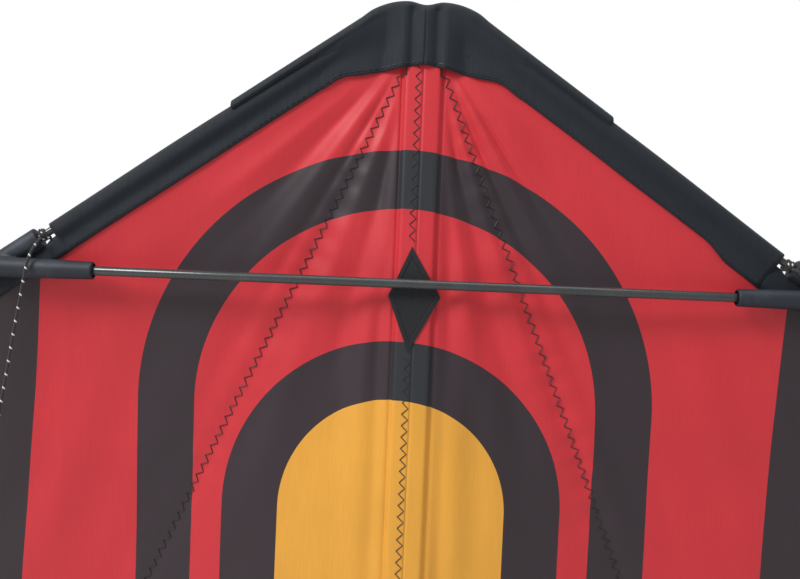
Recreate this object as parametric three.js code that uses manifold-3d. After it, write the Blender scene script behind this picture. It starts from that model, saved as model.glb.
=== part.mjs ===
// A two-line delta kite, rigged and hung by its nose.
// +X runs to the right wing tip, +Y through the sail to its lee side, +Z up, in millimetres.
// The origin is the middle of the blunt nose. Each wing is built as the right-hand one,
// and the left-hand one is its mirror image, apart from the way its bridle happens to hang.
import * as THREE from 'three';
import { mergeVertices } from 'three/addons/utils/BufferGeometryUtils.js';
import Module from 'manifold-3d';

// The plan of the kite
const SWEEP = THREE.MathUtils.degToRad(35);   // leading edge below the horizontal
const APEX_Z = 7.6;                // where the two leading edge rods would cross
const SPREADER_Y = -8.2;           // both spreaders pass in front of the sail
const UPPER_CROSSING = 272;        // along the leading edge rod, from the apex
const LOWER_CROSSING = 700;
const EDGE_START = 17;
const EDGE_END = 846;
const SPINE_TOP = -8;
const SPINE_END = -614;

// Rods and the clearance that a bore keeps around its rod
const EDGE_ROD_R = 2;
const SPREADER_R = 2.5;
const SPINE_R = 2.5;
const STANDOFF_R = 1.5;
const BORE_GAP = 0.35;
const MOUTH_GAP = 0.5;
const ROD_SIDES = 16;

// The pocket of tape round each leading edge
const SLEEVE_R = 3.3;
const SLEEVE_DEPTH = 15.7;
const HEM_HALF = 0.8;
const SLEEVE_STRETCHES = { upper: [26, 235], middle: [300, 656], lower: [728, 838] };
const COVER_START = 27;
const COVER_END = 119;
const COVER_WALL = 0.8;
const COVER_GAP = 0.35;

// The pocket behind the sail that holds the spine
const POCKET_HALF_WIDTH = 9.5;
const POCKET_HALF_DEPTH = 3.6;

// The sail panel of one wing
const SAIL_THICKNESS = 1;
const SAIL_IN_X = 11.5;
const SAIL_IN_TOP = -30;
const SAIL_IN_END = -606;
const SAIL_EDGE_INSET = 16.5;      // from the leading edge rod's axis
const SAIL_EDGE_TOP = 30;
const SAIL_EDGE_END = 838;
const BILLOW = 48;
const BILLOW_POWER = 1.4;
const STANDOFF_X = 215;
const STANDOFF_LIFT = 38;          // how far the trailing edge rises where the standoff meets it
const INNER_SCALLOP = 10;
const OUTER_SCALLOP = 34;
const TAB_TOP = 6.4;               // the hem that runs on past each gap in the sleeve

// Moulded connectors
const BARREL_R = 5.5;
const BARREL_ABOVE = 28;
const BARREL_BELOW = 20;
const ARM_R = 5.3;
const NECK_R = 5;
const ARM_LENGTH = 55;
const SOCKET_DEPTH = 26;
const TEE_HALF_HEIGHT = 12;
const TEE_ARM = 13;
const TEE_SOCKET_DEPTH = 10;

// Bridle
const CORD_R = 0.75;
const CORD_SIDES = 8;
const KNOT_R = 3.9;
const KNOT_HALF = 3.4;
const TOW_KNOT_R = 3;
const END_KNOT_R = 2.2;
const INNER_KNOT_X = 20;
const UPPER_KNOT_AT = 239.6;
const OUTER_KNOT_AT = 662;

// The bridle of each side hangs from three knots to one tow knot. Its points are listed as
// on the right-hand side, in millimetres.
const UPPER_LEGS = {
  right: [[197.2, -5.2, -132.4], [200, -8.5, -134.2], [204, -11.6, -137.6], [208.4, -14.2, -142],
    [212.6, -15.4, -147.5], [216, -15.9, -154], [220, -16, -163], [227, -16.2, -185],
    [235, -16.6, -212], [244, -17.1, -243], [254, -17.9, -280], [264, -19, -320],
    [273, -20.2, -360], [281.5, -21.5, -400], [289.5, -22.9, -441], [297.6, -24, -484.4]],
  left: [[197.2, -5.2, -132.4], [197.5, -7.6, -134.6], [197.9, -10.4, -137], [198.4, -13, -140.2],
    [199, -14.8, -144.2], [199.6, -15.7, -149], [200.4, -15.9, -154.8], [201.4, -16, -162.2],
    [204, -16.1, -180.4], [207.4, -16.4, -207], [211.6, -16.9, -238], [217.2, -17.8, -277],
    [223.6, -18.9, -318], [230.4, -20.1, -360], [237.2, -21.5, -402], [244, -22.9, -444],
    [251.3, -24, -486.3]],
};
const OUTER_LEGS = {
  right: [[541.5, -5.2, -373.5], [538, -8.4, -376.8], [533, -12, -381], [526.5, -15, -386.2],
    [518, -16.8, -392.5], [507, -17.6, -400], [492, -18.3, -409.5], [472, -19.1, -421],
    [450, -19.9, -432.5], [427, -20.7, -443.5], [404, -21.5, -453.5], [381, -22.3, -462.5],
    [358, -23, -470.5], [336, -23.6, -477.5], [317, -24, -483], [302.3, -24, -486.9]],
  left: [[541.5, -5.2, -373.5], [538, -8.4, -376.5], [533, -12, -380.5], [526, -15, -385.5],
    [517, -16.8, -391.5], [506, -17.6, -398], [490, -18.2, -407], [468, -18.9, -418.5],
    [442, -19.7, -431], [414, -20.5, -443.5], [385, -21.3, -455], [355, -22.1, -465.5],
    [325, -22.9, -475], [295, -23.6, -483], [270, -24, -488.4], [255.9, -24, -490.4]],
};
const INNER_LEGS = {
  right: [[20, -13.8, -395], [21.5, -15.6, -398.5], [25, -17, -404], [31, -18, -411.5],
    [41, -18.9, -421.5], [55, -19.7, -433.5], [73, -20.5, -446], [95, -21.2, -458.5],
    [119, -21.9, -469.5], [145, -22.5, -478.5], [172, -23.1, -485.5], [200, -23.6, -490.3],
    [228, -23.9, -492.6], [254, -24, -492.6], [278, -24, -490.9], [294.7, -24, -488.7]],
  left: [[20, -13.8, -395], [21.5, -15.6, -398], [24.5, -17, -402.5], [29, -18, -408.5],
    [36, -18.8, -416], [46, -19.6, -425.5], [60, -20.4, -437], [78, -21.2, -449.5],
    [98, -21.9, -461], [120, -22.6, -471], [144, -23.2, -479.5], [168, -23.6, -486],
    [192, -23.9, -490.5], [214, -24, -492.8], [234, -24, -493], [248.1, -24, -491.2]],
};
const TOW_KNOTS = { right: [298.5, -24, -488], left: [252, -24, -490] };
const PIGTAIL = [[0, 0, -4], [0.2, -0.1, -7], [0.5, -0.2, -10], [0.9, -0.3, -13],
  [1.2, -0.3, -16], [1.5, -0.3, -19], [1.6, -0.3, -22], [1.5, -0.2, -25], [1.2, -0.1, -28],
  [0.8, 0, -31], [0.4, 0, -34], [0.1, 0, -37], [0, 0, -40], [0, 0, -43], [0, 0, -46]];
const PIGTAIL_END = -48.6;

const MATERIALS = {
  carbon: new THREE.MeshStandardMaterial({ color: 0x2a2d30, roughness: 0.35, metalness: 0.1 }),
  rubber: new THREE.MeshStandardMaterial({ color: 0x26292d, roughness: 0.7, metalness: 0 }),
  tape: new THREE.MeshStandardMaterial({ color: 0x1b2027, roughness: 0.75, metalness: 0 }),
  sailcloth: new THREE.MeshStandardMaterial({ color: 0xc0323a, roughness: 0.6, metalness: 0 }),
  cord: new THREE.MeshStandardMaterial({ color: 0x1c1c1e, roughness: 0.85, metalness: 0 }),
};

const wasm = await Module();
wasm.setup();

// ---------------------------------------------------------------- geometry helpers

function solidOf(geometry) {
  const bare = geometry.clone();
  bare.deleteAttribute('normal');
  bare.deleteAttribute('uv');
  const merged = mergeVertices(bare, 1e-4);
  return new wasm.Manifold(new wasm.Mesh({
    numProp: 3,
    vertProperties: new Float32Array(merged.attributes.position.array),
    triVerts: new Uint32Array(merged.index.array),
  }));
}

function geometryOf(solid) {
  const mesh = solid.getMesh();
  const geometry = new THREE.BufferGeometry();
  geometry.setAttribute('position', new THREE.BufferAttribute(mesh.vertProperties, 3));
  geometry.setIndex(new THREE.BufferAttribute(mesh.triVerts, 1));
  return geometry;
}

function joined(geometries, cuts = []) {
  let solid = solidOf(geometries[0]);
  for (const geometry of geometries.slice(1)) solid = solid.add(solidOf(geometry));
  for (const cut of cuts) solid = solid.subtract(solidOf(cut));
  return geometryOf(solid);
}

function mesh(name, geometry, material) {
  const piece = new THREE.Mesh(geometry, MATERIALS[material]);
  piece.name = name;
  return piece;
}

// A rod along X from one place to another
function rodAlongX(radius, from, to, sides = ROD_SIDES) {
  const rod = new THREE.CylinderGeometry(radius, radius, to - from, sides);
  rod.rotateZ(Math.PI / 2);
  return rod.translate((from + to) / 2, 0, 0);
}

// A rod along Z from one height to another
function rodAlongZ(radius, from, to, sides = ROD_SIDES) {
  const rod = new THREE.CylinderGeometry(radius, radius, to - from, sides);
  rod.rotateX(Math.PI / 2);
  return rod.translate(0, 0, (from + to) / 2);
}

// A section drawn in (y, z) and drawn out along X
function drawnAlongX(section, from, to) {
  const body = new THREE.ExtrudeGeometry(section, {
    depth: to - from, bevelEnabled: false, curveSegments: 6,
  });
  const turn = new THREE.Matrix4().makeBasis(
    new THREE.Vector3(0, 1, 0), new THREE.Vector3(0, 0, 1), new THREE.Vector3(1, 0, 0));
  body.applyMatrix4(turn);
  return body.translate(from, 0, 0);
}

function polygon(radius, sides) {
  const points = [];
  for (let i = 0; i < sides; i += 1) {
    const angle = (2 * Math.PI * i) / sides;
    points.push(new THREE.Vector2(radius * Math.cos(angle), radius * Math.sin(angle)));
  }
  return points;
}

function cordTube(points, steps) {
  const route = new THREE.CatmullRomCurve3(points.map((p) => new THREE.Vector3(...p)));
  return new THREE.ExtrudeGeometry(new THREE.Shape(polygon(CORD_R, CORD_SIDES)), {
    steps, extrudePath: route, bevelEnabled: false,
  });
}

// The turns of a cord knotted round a rod, as one ring on the X axis
function knotRing(boreR, outerR) {
  const outside = joined([
    rodAlongX(outerR, -KNOT_HALF * 0.5, KNOT_HALF * 0.5, 12),
    rodAlongX(outerR * 0.88, -KNOT_HALF, KNOT_HALF, 12),
  ], [rodAlongX(boreR, -KNOT_HALF - 1, KNOT_HALF + 1, 12)]);
  return outside;
}

// ---------------------------------------------------------------- leading edge

function sleeveSection() {
  const lean = 0.25;
  const section = new THREE.Shape();
  section.moveTo(HEM_HALF, -SLEEVE_DEPTH);
  section.absarc(0, 0, SLEEVE_R, -lean, Math.PI + lean, false);
  section.lineTo(-HEM_HALF, -SLEEVE_DEPTH);
  section.closePath();
  section.holes.push(new THREE.Path(polygon(EDGE_ROD_R + BORE_GAP, ROD_SIDES)));
  return section;
}

// The nose cover is a second layer of tape folded over the sleeve
function coverSection() {
  const inside = SLEEVE_R + COVER_GAP;
  const outside = inside + COVER_WALL;
  const hemInside = HEM_HALF + COVER_GAP;
  const section = new THREE.Shape();
  section.moveTo(hemInside + COVER_WALL, -SLEEVE_DEPTH);
  section.absarc(0, 0, outside, -0.2, Math.PI + 0.2, false);
  section.lineTo(-hemInside - COVER_WALL, -SLEEVE_DEPTH);
  section.lineTo(-hemInside, -SLEEVE_DEPTH);
  section.absarc(0, 0, inside, Math.PI + 0.2, -0.2, true);
  section.lineTo(hemInside, -SLEEVE_DEPTH);
  section.closePath();
  return section;
}

function tipCap() {
  return joined(
    [rodAlongX(4.2, 840, 857), rodAlongX(3.4, 856, 860)],
    [rodAlongX(EDGE_ROD_R + BORE_GAP, 839, EDGE_END + MOUTH_GAP)]);
}

// Everything on the leading edge, drawn along X and then swept back as one group
function leadingEdge(side) {
  const edge = new THREE.Group();
  edge.position.z = APEX_Z;
  edge.rotation.y = SWEEP;
  const rod = rodAlongX(EDGE_ROD_R, EDGE_START, EDGE_END);
  edge.add(mesh(`${side}_leading_edge_spar`, rod, 'carbon'));
  for (const [stretch, [from, to]] of Object.entries(SLEEVE_STRETCHES)) {
    const sleeve = drawnAlongX(sleeveSection(), from, to);
    edge.add(mesh(`${side}_${stretch}_sleeve`, sleeve, 'tape'));
  }
  const cover = drawnAlongX(coverSection(), COVER_START, COVER_END);
  edge.add(mesh(`${side}_nose_cover`, cover, 'tape'));
  edge.add(mesh(`${side}_tip_cap`, tipCap(), 'rubber'));
  for (const [name, at] of [['upper', UPPER_KNOT_AT], ['outer', OUTER_KNOT_AT]]) {
    const knot = mesh(`${side}_${name}_bridle_knot`, knotRing(EDGE_ROD_R + BORE_GAP, KNOT_R), 'cord');
    knot.position.x = at;
    edge.add(knot);
  }
  return edge;
}

// ---------------------------------------------------------------- sail

// How far the trailing edge lies above the straight line from tail to tip
function scallop(u) {
  const meet = (STANDOFF_X - SAIL_IN_X) / (edgePoint(SAIL_EDGE_END).x - SAIL_IN_X);
  if (u < meet) {
    return (STANDOFF_LIFT * u) / meet + INNER_SCALLOP * Math.sin((Math.PI * u) / meet);
  }
  const along = (u - meet) / (1 - meet);
  return STANDOFF_LIFT * (1 - along) + OUTER_SCALLOP * Math.sin(Math.PI * along);
}

// A place on the sail's outer border, a given way along the leading edge
function edgePoint(along) {
  return {
    x: along * Math.cos(SWEEP) - SAIL_EDGE_INSET * Math.sin(SWEEP),
    z: APEX_Z - along * Math.sin(SWEEP) - SAIL_EDGE_INSET * Math.cos(SWEEP),
  };
}

// The sail's middle surface: u runs from spine to leading edge, v from nose to trailing edge
function sailPoint(u, v) {
  const outer = edgePoint(THREE.MathUtils.lerp(SAIL_EDGE_TOP, SAIL_EDGE_END, v));
  const innerZ = THREE.MathUtils.lerp(SAIL_IN_TOP, SAIL_IN_END, v);
  return new THREE.Vector3(
    THREE.MathUtils.lerp(SAIL_IN_X, outer.x, u),
    BILLOW * v ** BILLOW_POWER * Math.sin(Math.PI * u),
    THREE.MathUtils.lerp(innerZ, outer.z, u) + v * v * scallop(u));
}

// A closed plate of even depth on a grid of points
function plateOnGrid(columns, rows, thickness, pointAt) {
  const positions = [];
  const faces = [];
  const stride = columns + 1;
  const layer = stride * (rows + 1);
  for (const offset of [-thickness / 2, thickness / 2]) {
    for (let j = 0; j <= rows; j += 1) {
      for (let i = 0; i <= columns; i += 1) {
        const point = pointAt(i / columns, j / rows);
        positions.push(point.x, point.y + offset, point.z);
      }
    }
  }
  const quad = (a, b, c, d) => faces.push(a, b, c, a, c, d);
  for (let j = 0; j < rows; j += 1) {
    for (let i = 0; i < columns; i += 1) {
      const a = j * stride + i;
      quad(a, a + stride, a + stride + 1, a + 1);
      quad(a + layer, a + layer + 1, a + layer + stride + 1, a + layer + stride);
    }
  }
  for (let i = 0; i < columns; i += 1) {
    const last = rows * stride + i;
    quad(i, i + 1, i + 1 + layer, i + layer);
    quad(last, last + layer, last + layer + 1, last + 1);
  }
  for (let j = 0; j < rows; j += 1) {
    const first = j * stride;
    const end = first + columns;
    quad(first, first + layer, first + layer + stride, first + stride);
    quad(end, end + stride, end + stride + layer, end + layer);
  }
  const geometry = new THREE.BufferGeometry();
  geometry.setAttribute('position', new THREE.Float32BufferAttribute(positions, 3));
  geometry.setIndex(faces);
  return geometry;
}

// The strip of hem that runs past a gap in the sleeve
function hemTab(from, to) {
  const overlap = 1.5;
  const height = SAIL_EDGE_INSET + overlap - TAB_TOP;
  const tab = new THREE.BoxGeometry(to - from, SAIL_THICKNESS * 0.9, height);
  tab.translate((from + to) / 2, 0, -TAB_TOP - height / 2);
  tab.rotateY(SWEEP);
  return tab.translate(0, 0, APEX_Z);
}

function sail() {
  const panel = plateOnGrid(14, 12, SAIL_THICKNESS, sailPoint);
  const { upper, middle, lower } = SLEEVE_STRETCHES;
  return joined([panel, hemTab(upper[1] + 1, middle[0] - 1), hemTab(middle[1] + 1, lower[0] - 1)]);
}

// ---------------------------------------------------------------- connectors

// A moulded connector: its barrel sits on the leading edge rod, and its arm points to the
// spine, in front of the sail. It is drawn about the place where the two axes pass.
function edgeConnector() {
  const barrel = rodAlongX(BARREL_R, -BARREL_ABOVE, BARREL_BELOW).rotateY(SWEEP);
  const arm = rodAlongX(ARM_R, -ARM_LENGTH, 0).translate(0, SPREADER_Y, 0);
  const shoulder = new THREE.SphereGeometry(ARM_R, 16, 10).translate(0, SPREADER_Y, 0);
  const neck = new THREE.CylinderGeometry(NECK_R, NECK_R, -SPREADER_Y, ROD_SIDES);
  neck.translate(0, SPREADER_Y / 2, 0);
  const barrelBore = rodAlongX(EDGE_ROD_R + BORE_GAP, -BARREL_ABOVE - 1, BARREL_BELOW + 1);
  const armBore = rodAlongX(SPREADER_R + 0.3, -ARM_LENGTH - 1, -SOCKET_DEPTH);
  return joined([barrel, neck, arm, shoulder],
    [barrelBore.rotateY(SWEEP), armBore.translate(0, SPREADER_Y, 0)]);
}

function crossingPoint(along) {
  return new THREE.Vector3(along * Math.cos(SWEEP), 0, APEX_Z - along * Math.sin(SWEEP));
}

// The T connector holds the inner ends of the lower spreaders on the spine
function centreTee() {
  const barrel = rodAlongZ(BARREL_R, -TEE_HALF_HEIGHT, TEE_HALF_HEIGHT);
  const arms = rodAlongX(ARM_R, -TEE_ARM, TEE_ARM).translate(0, SPREADER_Y, 0);
  const neck = new THREE.CylinderGeometry(NECK_R, NECK_R, -SPREADER_Y, ROD_SIDES);
  neck.translate(0, SPREADER_Y / 2, 0);
  const cuts = [rodAlongZ(SPINE_R + BORE_GAP, -TEE_HALF_HEIGHT - 1, TEE_HALF_HEIGHT + 1)];
  for (const side of [-1, 1]) {
    const inner = side * (TEE_ARM - TEE_SOCKET_DEPTH);
    const outer = side * (TEE_ARM + 1);
    const bore = rodAlongX(SPREADER_R + 0.3, Math.min(inner, outer), Math.max(inner, outer));
    cuts.push(bore.translate(0, SPREADER_Y, 0));
  }
  return joined([barrel, neck, arms], cuts);
}

// ---------------------------------------------------------------- standoff

const STANDOFF_FOOT = new THREE.Vector3(STANDOFF_X, SPREADER_Y, crossingPoint(LOWER_CROSSING).z);
const STANDOFF_HEAD = new THREE.Vector3(STANDOFF_X, 33.5, -524);

// The standoff's own group stands on the lower spreader and reaches down its own Z axis
function standoff(side) {
  const reach = STANDOFF_FOOT.distanceTo(STANDOFF_HEAD);
  const group = new THREE.Group();
  group.position.copy(STANDOFF_FOOT);
  group.rotation.x = Math.asin((STANDOFF_HEAD.y - STANDOFF_FOOT.y) / reach);
  const clip = joined([rodAlongX(NECK_R, -6, 6), rodAlongZ(3.4, -18, -2.9)],
    [rodAlongX(SPREADER_R + 0.3, -7, 7), rodAlongZ(STANDOFF_R + 0.3, -19, -7)]);
  group.add(mesh(`${side}_standoff_clip`, clip, 'rubber'));
  group.add(mesh(`${side}_standoff`, rodAlongZ(STANDOFF_R, 3 - reach, -7.4), 'carbon'));
  const cap = joined([rodAlongZ(3, -reach, 10 - reach)],
    [rodAlongZ(STANDOFF_R + 0.3, 2.6 - reach, 11 - reach)]);
  group.add(mesh(`${side}_standoff_cap`, cap, 'rubber'));
  return group;
}

// ---------------------------------------------------------------- bridle

function bridle(side) {
  const group = new THREE.Group();
  const [towX, towY, towZ] = TOW_KNOTS[side];
  const innerKnot = mesh(`${side}_inner_bridle_knot`, knotRing(SPREADER_R + 0.3, 4.2), 'cord');
  innerKnot.position.set(INNER_KNOT_X, SPREADER_Y, crossingPoint(LOWER_CROSSING).z);
  group.add(innerKnot);
  group.add(mesh(`${side}_bridle_upper_leg`, cordTube(UPPER_LEGS[side], 26), 'cord'));
  group.add(mesh(`${side}_bridle_outer_leg`, cordTube(OUTER_LEGS[side], 24), 'cord'));
  group.add(mesh(`${side}_bridle_inner_leg`, cordTube(INNER_LEGS[side], 24), 'cord'));
  const tow = new THREE.SphereGeometry(TOW_KNOT_R, 10, 8);
  group.add(mesh(`${side}_tow_knot`, tow.translate(towX, towY, towZ), 'cord'));
  const tail = PIGTAIL.map(([x, y, z]) => [x + towX, y + towY, z + towZ]);
  group.add(mesh(`${side}_pigtail`, cordTube(tail, 8), 'cord'));
  const end = new THREE.SphereGeometry(END_KNOT_R, 10, 8);
  end.translate(towX, towY, towZ + PIGTAIL_END);
  group.add(mesh(`${side}_pigtail_knot`, end, 'cord'));
  return group;
}

// ---------------------------------------------------------------- wings

function wing(side) {
  const group = new THREE.Group();
  group.scale.x = side === 'left' ? -1 : 1;
  group.add(leadingEdge(side));
  group.add(mesh(`${side}_sail`, sail(), 'sailcloth'));
  for (const [name, along] of [['upper', UPPER_CROSSING], ['lower', LOWER_CROSSING]]) {
    const connector = mesh(`${side}_${name}_connector`, edgeConnector(), 'rubber');
    connector.position.copy(crossingPoint(along));
    group.add(connector);
  }
  const foot = crossingPoint(LOWER_CROSSING);
  const rod = rodAlongX(SPREADER_R, TEE_ARM + MOUTH_GAP, foot.x - SOCKET_DEPTH - MOUTH_GAP);
  const lower = mesh(`${side}_lower_spreader`, rod, 'carbon');
  lower.position.set(0, SPREADER_Y, foot.z);
  group.add(lower);
  group.add(standoff(side));
  group.add(bridle(side));
  return group;
}

// The upper spreader is pushed home in the left connector and stops at the right one's mouth
function upperSpreader() {
  const crossing = crossingPoint(UPPER_CROSSING);
  const rod = rodAlongX(SPREADER_R, -(crossing.x - SOCKET_DEPTH - MOUTH_GAP),
    crossing.x - ARM_LENGTH - MOUTH_GAP);
  const piece = mesh('upper_spreader', rod, 'carbon');
  piece.position.set(0, SPREADER_Y, crossing.z);
  return piece;
}

// ---------------------------------------------------------------- spine

function pocketSection(halfWidth, halfDepth) {
  const section = new THREE.Shape();
  const edge = 0.6;
  section.moveTo(halfWidth, edge);
  section.lineTo(3.4, halfDepth);
  section.lineTo(-3.4, halfDepth);
  section.lineTo(-halfWidth, edge);
  section.lineTo(-halfWidth, -edge);
  section.lineTo(-3.4, -halfDepth);
  section.lineTo(3.4, -halfDepth);
  section.lineTo(halfWidth, -edge);
  section.closePath();
  return section;
}

function drawnAlongZ(section, from, to) {
  const body = new THREE.ExtrudeGeometry(section, { depth: to - from, bevelEnabled: false });
  return body.translate(0, 0, from);
}

function spinePocket(from, to) {
  const section = pocketSection(POCKET_HALF_WIDTH, POCKET_HALF_DEPTH);
  section.holes.push(new THREE.Path(polygon(SPINE_R + BORE_GAP, ROD_SIDES)));
  return drawnAlongZ(section, from, to);
}

function noseCoverCentre() {
  const block = drawnAlongZ(pocketSection(9.2, 4.2), -34, 0);
  return joined([block], [rodAlongZ(SPINE_R + BORE_GAP, -35, SPINE_TOP + MOUTH_GAP)]);
}

// The diamond that the upper spreader rubs on
function spreaderPatch() {
  const outline = new THREE.Shape();
  outline.moveTo(0, -128.8);
  outline.lineTo(-13.5, -155);
  outline.lineTo(0, -184.5);
  outline.lineTo(13.5, -155);
  outline.closePath();
  const patch = new THREE.ExtrudeGeometry(outline, { depth: 0.8, bevelEnabled: false });
  patch.rotateX(Math.PI / 2);
  return patch.translate(0, -POCKET_HALF_DEPTH - 0.4, 0);
}

function tailCap() {
  return joined([rodAlongZ(4.2, -622, -601)],
    [rodAlongZ(SPINE_R + BORE_GAP, SPINE_END - MOUTH_GAP, -600)]);
}

function centreLine() {
  const group = new THREE.Group();
  group.add(mesh('spine_spar', rodAlongZ(SPINE_R, SPINE_END, SPINE_TOP), 'carbon'));
  group.add(mesh('spine_pocket_upper', spinePocket(-380, -36), 'sailcloth'));
  group.add(mesh('spine_pocket_lower', spinePocket(-598, -408), 'sailcloth'));
  group.add(mesh('nose_cover_centre', noseCoverCentre(), 'tape'));
  group.add(mesh('spreader_patch', spreaderPatch(), 'tape'));
  group.add(mesh('spine_tail_cap', tailCap(), 'rubber'));
  const tee = mesh('centre_tee', centreTee(), 'rubber');
  tee.position.z = crossingPoint(LOWER_CROSSING).z;
  group.add(tee);
  return group;
}

const kite = new THREE.Group();
kite.add(centreLine());
kite.add(wing('left'));
kite.add(wing('right'));
kite.add(upperSpreader());

export default kite;
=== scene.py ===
# %% [markdown]
# # A delta kite
# The kite's hard frame arrives already measured, as named nodes on three bodies: the centre
# line and the two wings, which fold about the spine. This lesson puts the real surfaces on
# it: printed sailcloth, edge tape, sewing, moulded rubber, carbon rod and bridle cord.
# Lengths below are in millimetres, and `MM` turns them into Blender's metres.

# %% Load the measured frame
import bpy
import bmesh
import math
from mathutils import Matrix, Vector, noise
from mathutils.bvhtree import BVHTree


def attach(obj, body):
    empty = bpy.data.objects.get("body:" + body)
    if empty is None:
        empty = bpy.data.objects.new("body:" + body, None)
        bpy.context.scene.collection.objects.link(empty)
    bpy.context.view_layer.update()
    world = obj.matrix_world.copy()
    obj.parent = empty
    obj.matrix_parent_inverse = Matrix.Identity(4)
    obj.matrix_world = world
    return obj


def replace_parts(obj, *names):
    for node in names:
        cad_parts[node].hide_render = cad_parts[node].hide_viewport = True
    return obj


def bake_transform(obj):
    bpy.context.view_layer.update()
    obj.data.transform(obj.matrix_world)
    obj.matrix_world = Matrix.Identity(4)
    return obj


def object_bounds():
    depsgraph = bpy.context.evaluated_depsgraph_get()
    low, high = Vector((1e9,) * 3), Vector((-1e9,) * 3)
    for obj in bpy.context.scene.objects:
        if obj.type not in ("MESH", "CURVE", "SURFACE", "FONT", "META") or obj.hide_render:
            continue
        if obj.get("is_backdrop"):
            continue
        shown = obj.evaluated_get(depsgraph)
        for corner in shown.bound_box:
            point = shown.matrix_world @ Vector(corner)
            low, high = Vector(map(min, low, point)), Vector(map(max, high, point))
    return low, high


MM = 0.001
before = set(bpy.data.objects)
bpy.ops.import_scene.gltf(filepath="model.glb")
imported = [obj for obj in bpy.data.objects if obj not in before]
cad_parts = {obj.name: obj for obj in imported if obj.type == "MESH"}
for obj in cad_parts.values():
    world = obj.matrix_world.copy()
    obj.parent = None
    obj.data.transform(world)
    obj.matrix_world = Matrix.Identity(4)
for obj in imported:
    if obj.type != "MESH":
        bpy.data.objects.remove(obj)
cad_low, cad_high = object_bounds()
scene = bpy.context.scene

# %% [markdown]
# ## Camera
# The camera stands close to the kite and square to the sail, as someone does who holds the
# nose up to look at it. It is rolled a little, so the spine leans. A short distance
# matters: it shows the end faces of the connectors' sockets.

# %% Camera
VIEW_CENTRE = Vector((-7.7, 0, -151.5)) * MM
VIEW_WIDTH = 424 * MM
VIEW_DISTANCE = 450 * MM
VIEW_ROLL = math.radians(-2.4)
SENSOR_WIDTH = 36

camera_data = bpy.data.cameras.new("camera")
camera = bpy.data.objects.new("camera", camera_data)
scene.collection.objects.link(camera)
camera_data.sensor_width = SENSOR_WIDTH
camera_data.lens = SENSOR_WIDTH * VIEW_DISTANCE / VIEW_WIDTH
camera.matrix_world = (Matrix.Translation(VIEW_CENTRE + Vector((0, -VIEW_DISTANCE, 0)))
                       @ Matrix.Rotation(VIEW_ROLL, 4, "Y")
                       @ Matrix.Rotation(math.pi / 2, 4, "X"))
scene.camera = camera
print("camera lens", round(camera_data.lens, 1))

# %% [markdown]
# ## Helpers for materials
# A material is a small graph of nodes. These few helpers add a node, join sockets and do
# one step of maths, so that each finish below reads as a recipe. A number goes straight on
# a socket, and anything else is joined to it.

# %% Node helpers
def add_node(tree, kind, **settings):
    made = tree.nodes.new(kind)
    for key, value in settings.items():
        setattr(made, key, value)
    return made


def feed(tree, socket, value):
    if isinstance(value, bpy.types.NodeSocket):
        tree.links.new(value, socket)
    else:
        socket.default_value = value


def sums(tree, operation, *values):
    """One step of maths on sockets or numbers."""
    step = add_node(tree, "ShaderNodeMath", operation=operation)
    for socket, value in zip(step.inputs, values):
        feed(tree, socket, value)
    return step.outputs[0]


def plus(tree, first, second):
    return sums(tree, "ADD", first, second)


def minus(tree, first, second):
    return sums(tree, "SUBTRACT", first, second)


def times(tree, first, second):
    return sums(tree, "MULTIPLY", first, second)


def mix_colour(tree, factor, first, second, blend_type="MIX"):
    step = add_node(tree, "ShaderNodeMix", data_type="RGBA", blend_type=blend_type)
    feed(tree, step.inputs["Factor"], factor)
    feed(tree, step.inputs[6], first)
    feed(tree, step.inputs[7], second)
    return step.outputs[2]


def ramp(tree, value, low, high, start=0.0, end=1.0):
    step = add_node(tree, "ShaderNodeMapRange", clamp=True)
    for socket, number in zip(step.inputs, (value, low, high, start, end)):
        feed(tree, socket, number)
    return step.outputs[0]


def noise_at(tree, vector, scale, detail=2.0, stretch=(1, 1, 1)):
    place = add_node(tree, "ShaderNodeMapping")
    tree.links.new(vector, place.inputs["Vector"])
    place.inputs["Scale"].default_value = stretch
    step = add_node(tree, "ShaderNodeTexNoise")
    tree.links.new(place.outputs[0], step.inputs["Vector"])
    step.inputs["Scale"].default_value = scale
    step.inputs["Detail"].default_value = detail
    return step.outputs["Fac"]


def object_place(tree):
    return add_node(tree, "ShaderNodeTexCoord").outputs["Object"]


def new_material(name, roughness, **plain):
    """A Principled material whose plain numbers sit on the shader's own sockets."""
    made = bpy.data.materials.new(name)
    made.use_nodes = True
    shader = made.node_tree.nodes["Principled BSDF"]
    shader.inputs["Roughness"].default_value = roughness
    for key, value in plain.items():
        shader.inputs[key.replace("_", " ")].default_value = value
    return made, made.node_tree, shader


def bump(tree, shader, height, strength, distance):
    step = add_node(tree, "ShaderNodeBump")
    step.inputs["Strength"].default_value = strength
    step.inputs["Distance"].default_value = distance
    tree.links.new(height, step.inputs["Height"])
    tree.links.new(step.outputs[0], shader.inputs["Normal"])


def linear(red, green, blue):
    """A colour as a paint chart gives it, 0 to 255, in the linear light that shaders use."""
    def channel(c):
        c = c / 255
        return c / 12.92 if c <= 0.04045 else ((c + 0.055) / 1.055) ** 2.4
    return (channel(red), channel(green), channel(blue), 1)


print("helpers ready")

# %% [markdown]
# ## Shared effects
# Three effects turn up in several finishes. `thread_weave` is the over and under of woven
# yarn, `handled_wear` is the pale patchy rub on rubber and rod, and `pattern_arch` says
# where a dyed arch lies. Each is a node group that puts out only a mask or a height.

# %% Thread weave group
def new_group(name, inputs, outputs):
    group = bpy.data.node_groups.new(name, "ShaderNodeTree")
    for label, kind, value in inputs:
        socket = group.interface.new_socket(name=label, in_out="INPUT", socket_type=kind)
        if value is not None:
            socket.default_value = value
    for label in outputs:
        group.interface.new_socket(name=label, in_out="OUTPUT", socket_type="NodeSocketFloat")
    return group, group.nodes.new("NodeGroupInput"), group.nodes.new("NodeGroupOutput")


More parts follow.
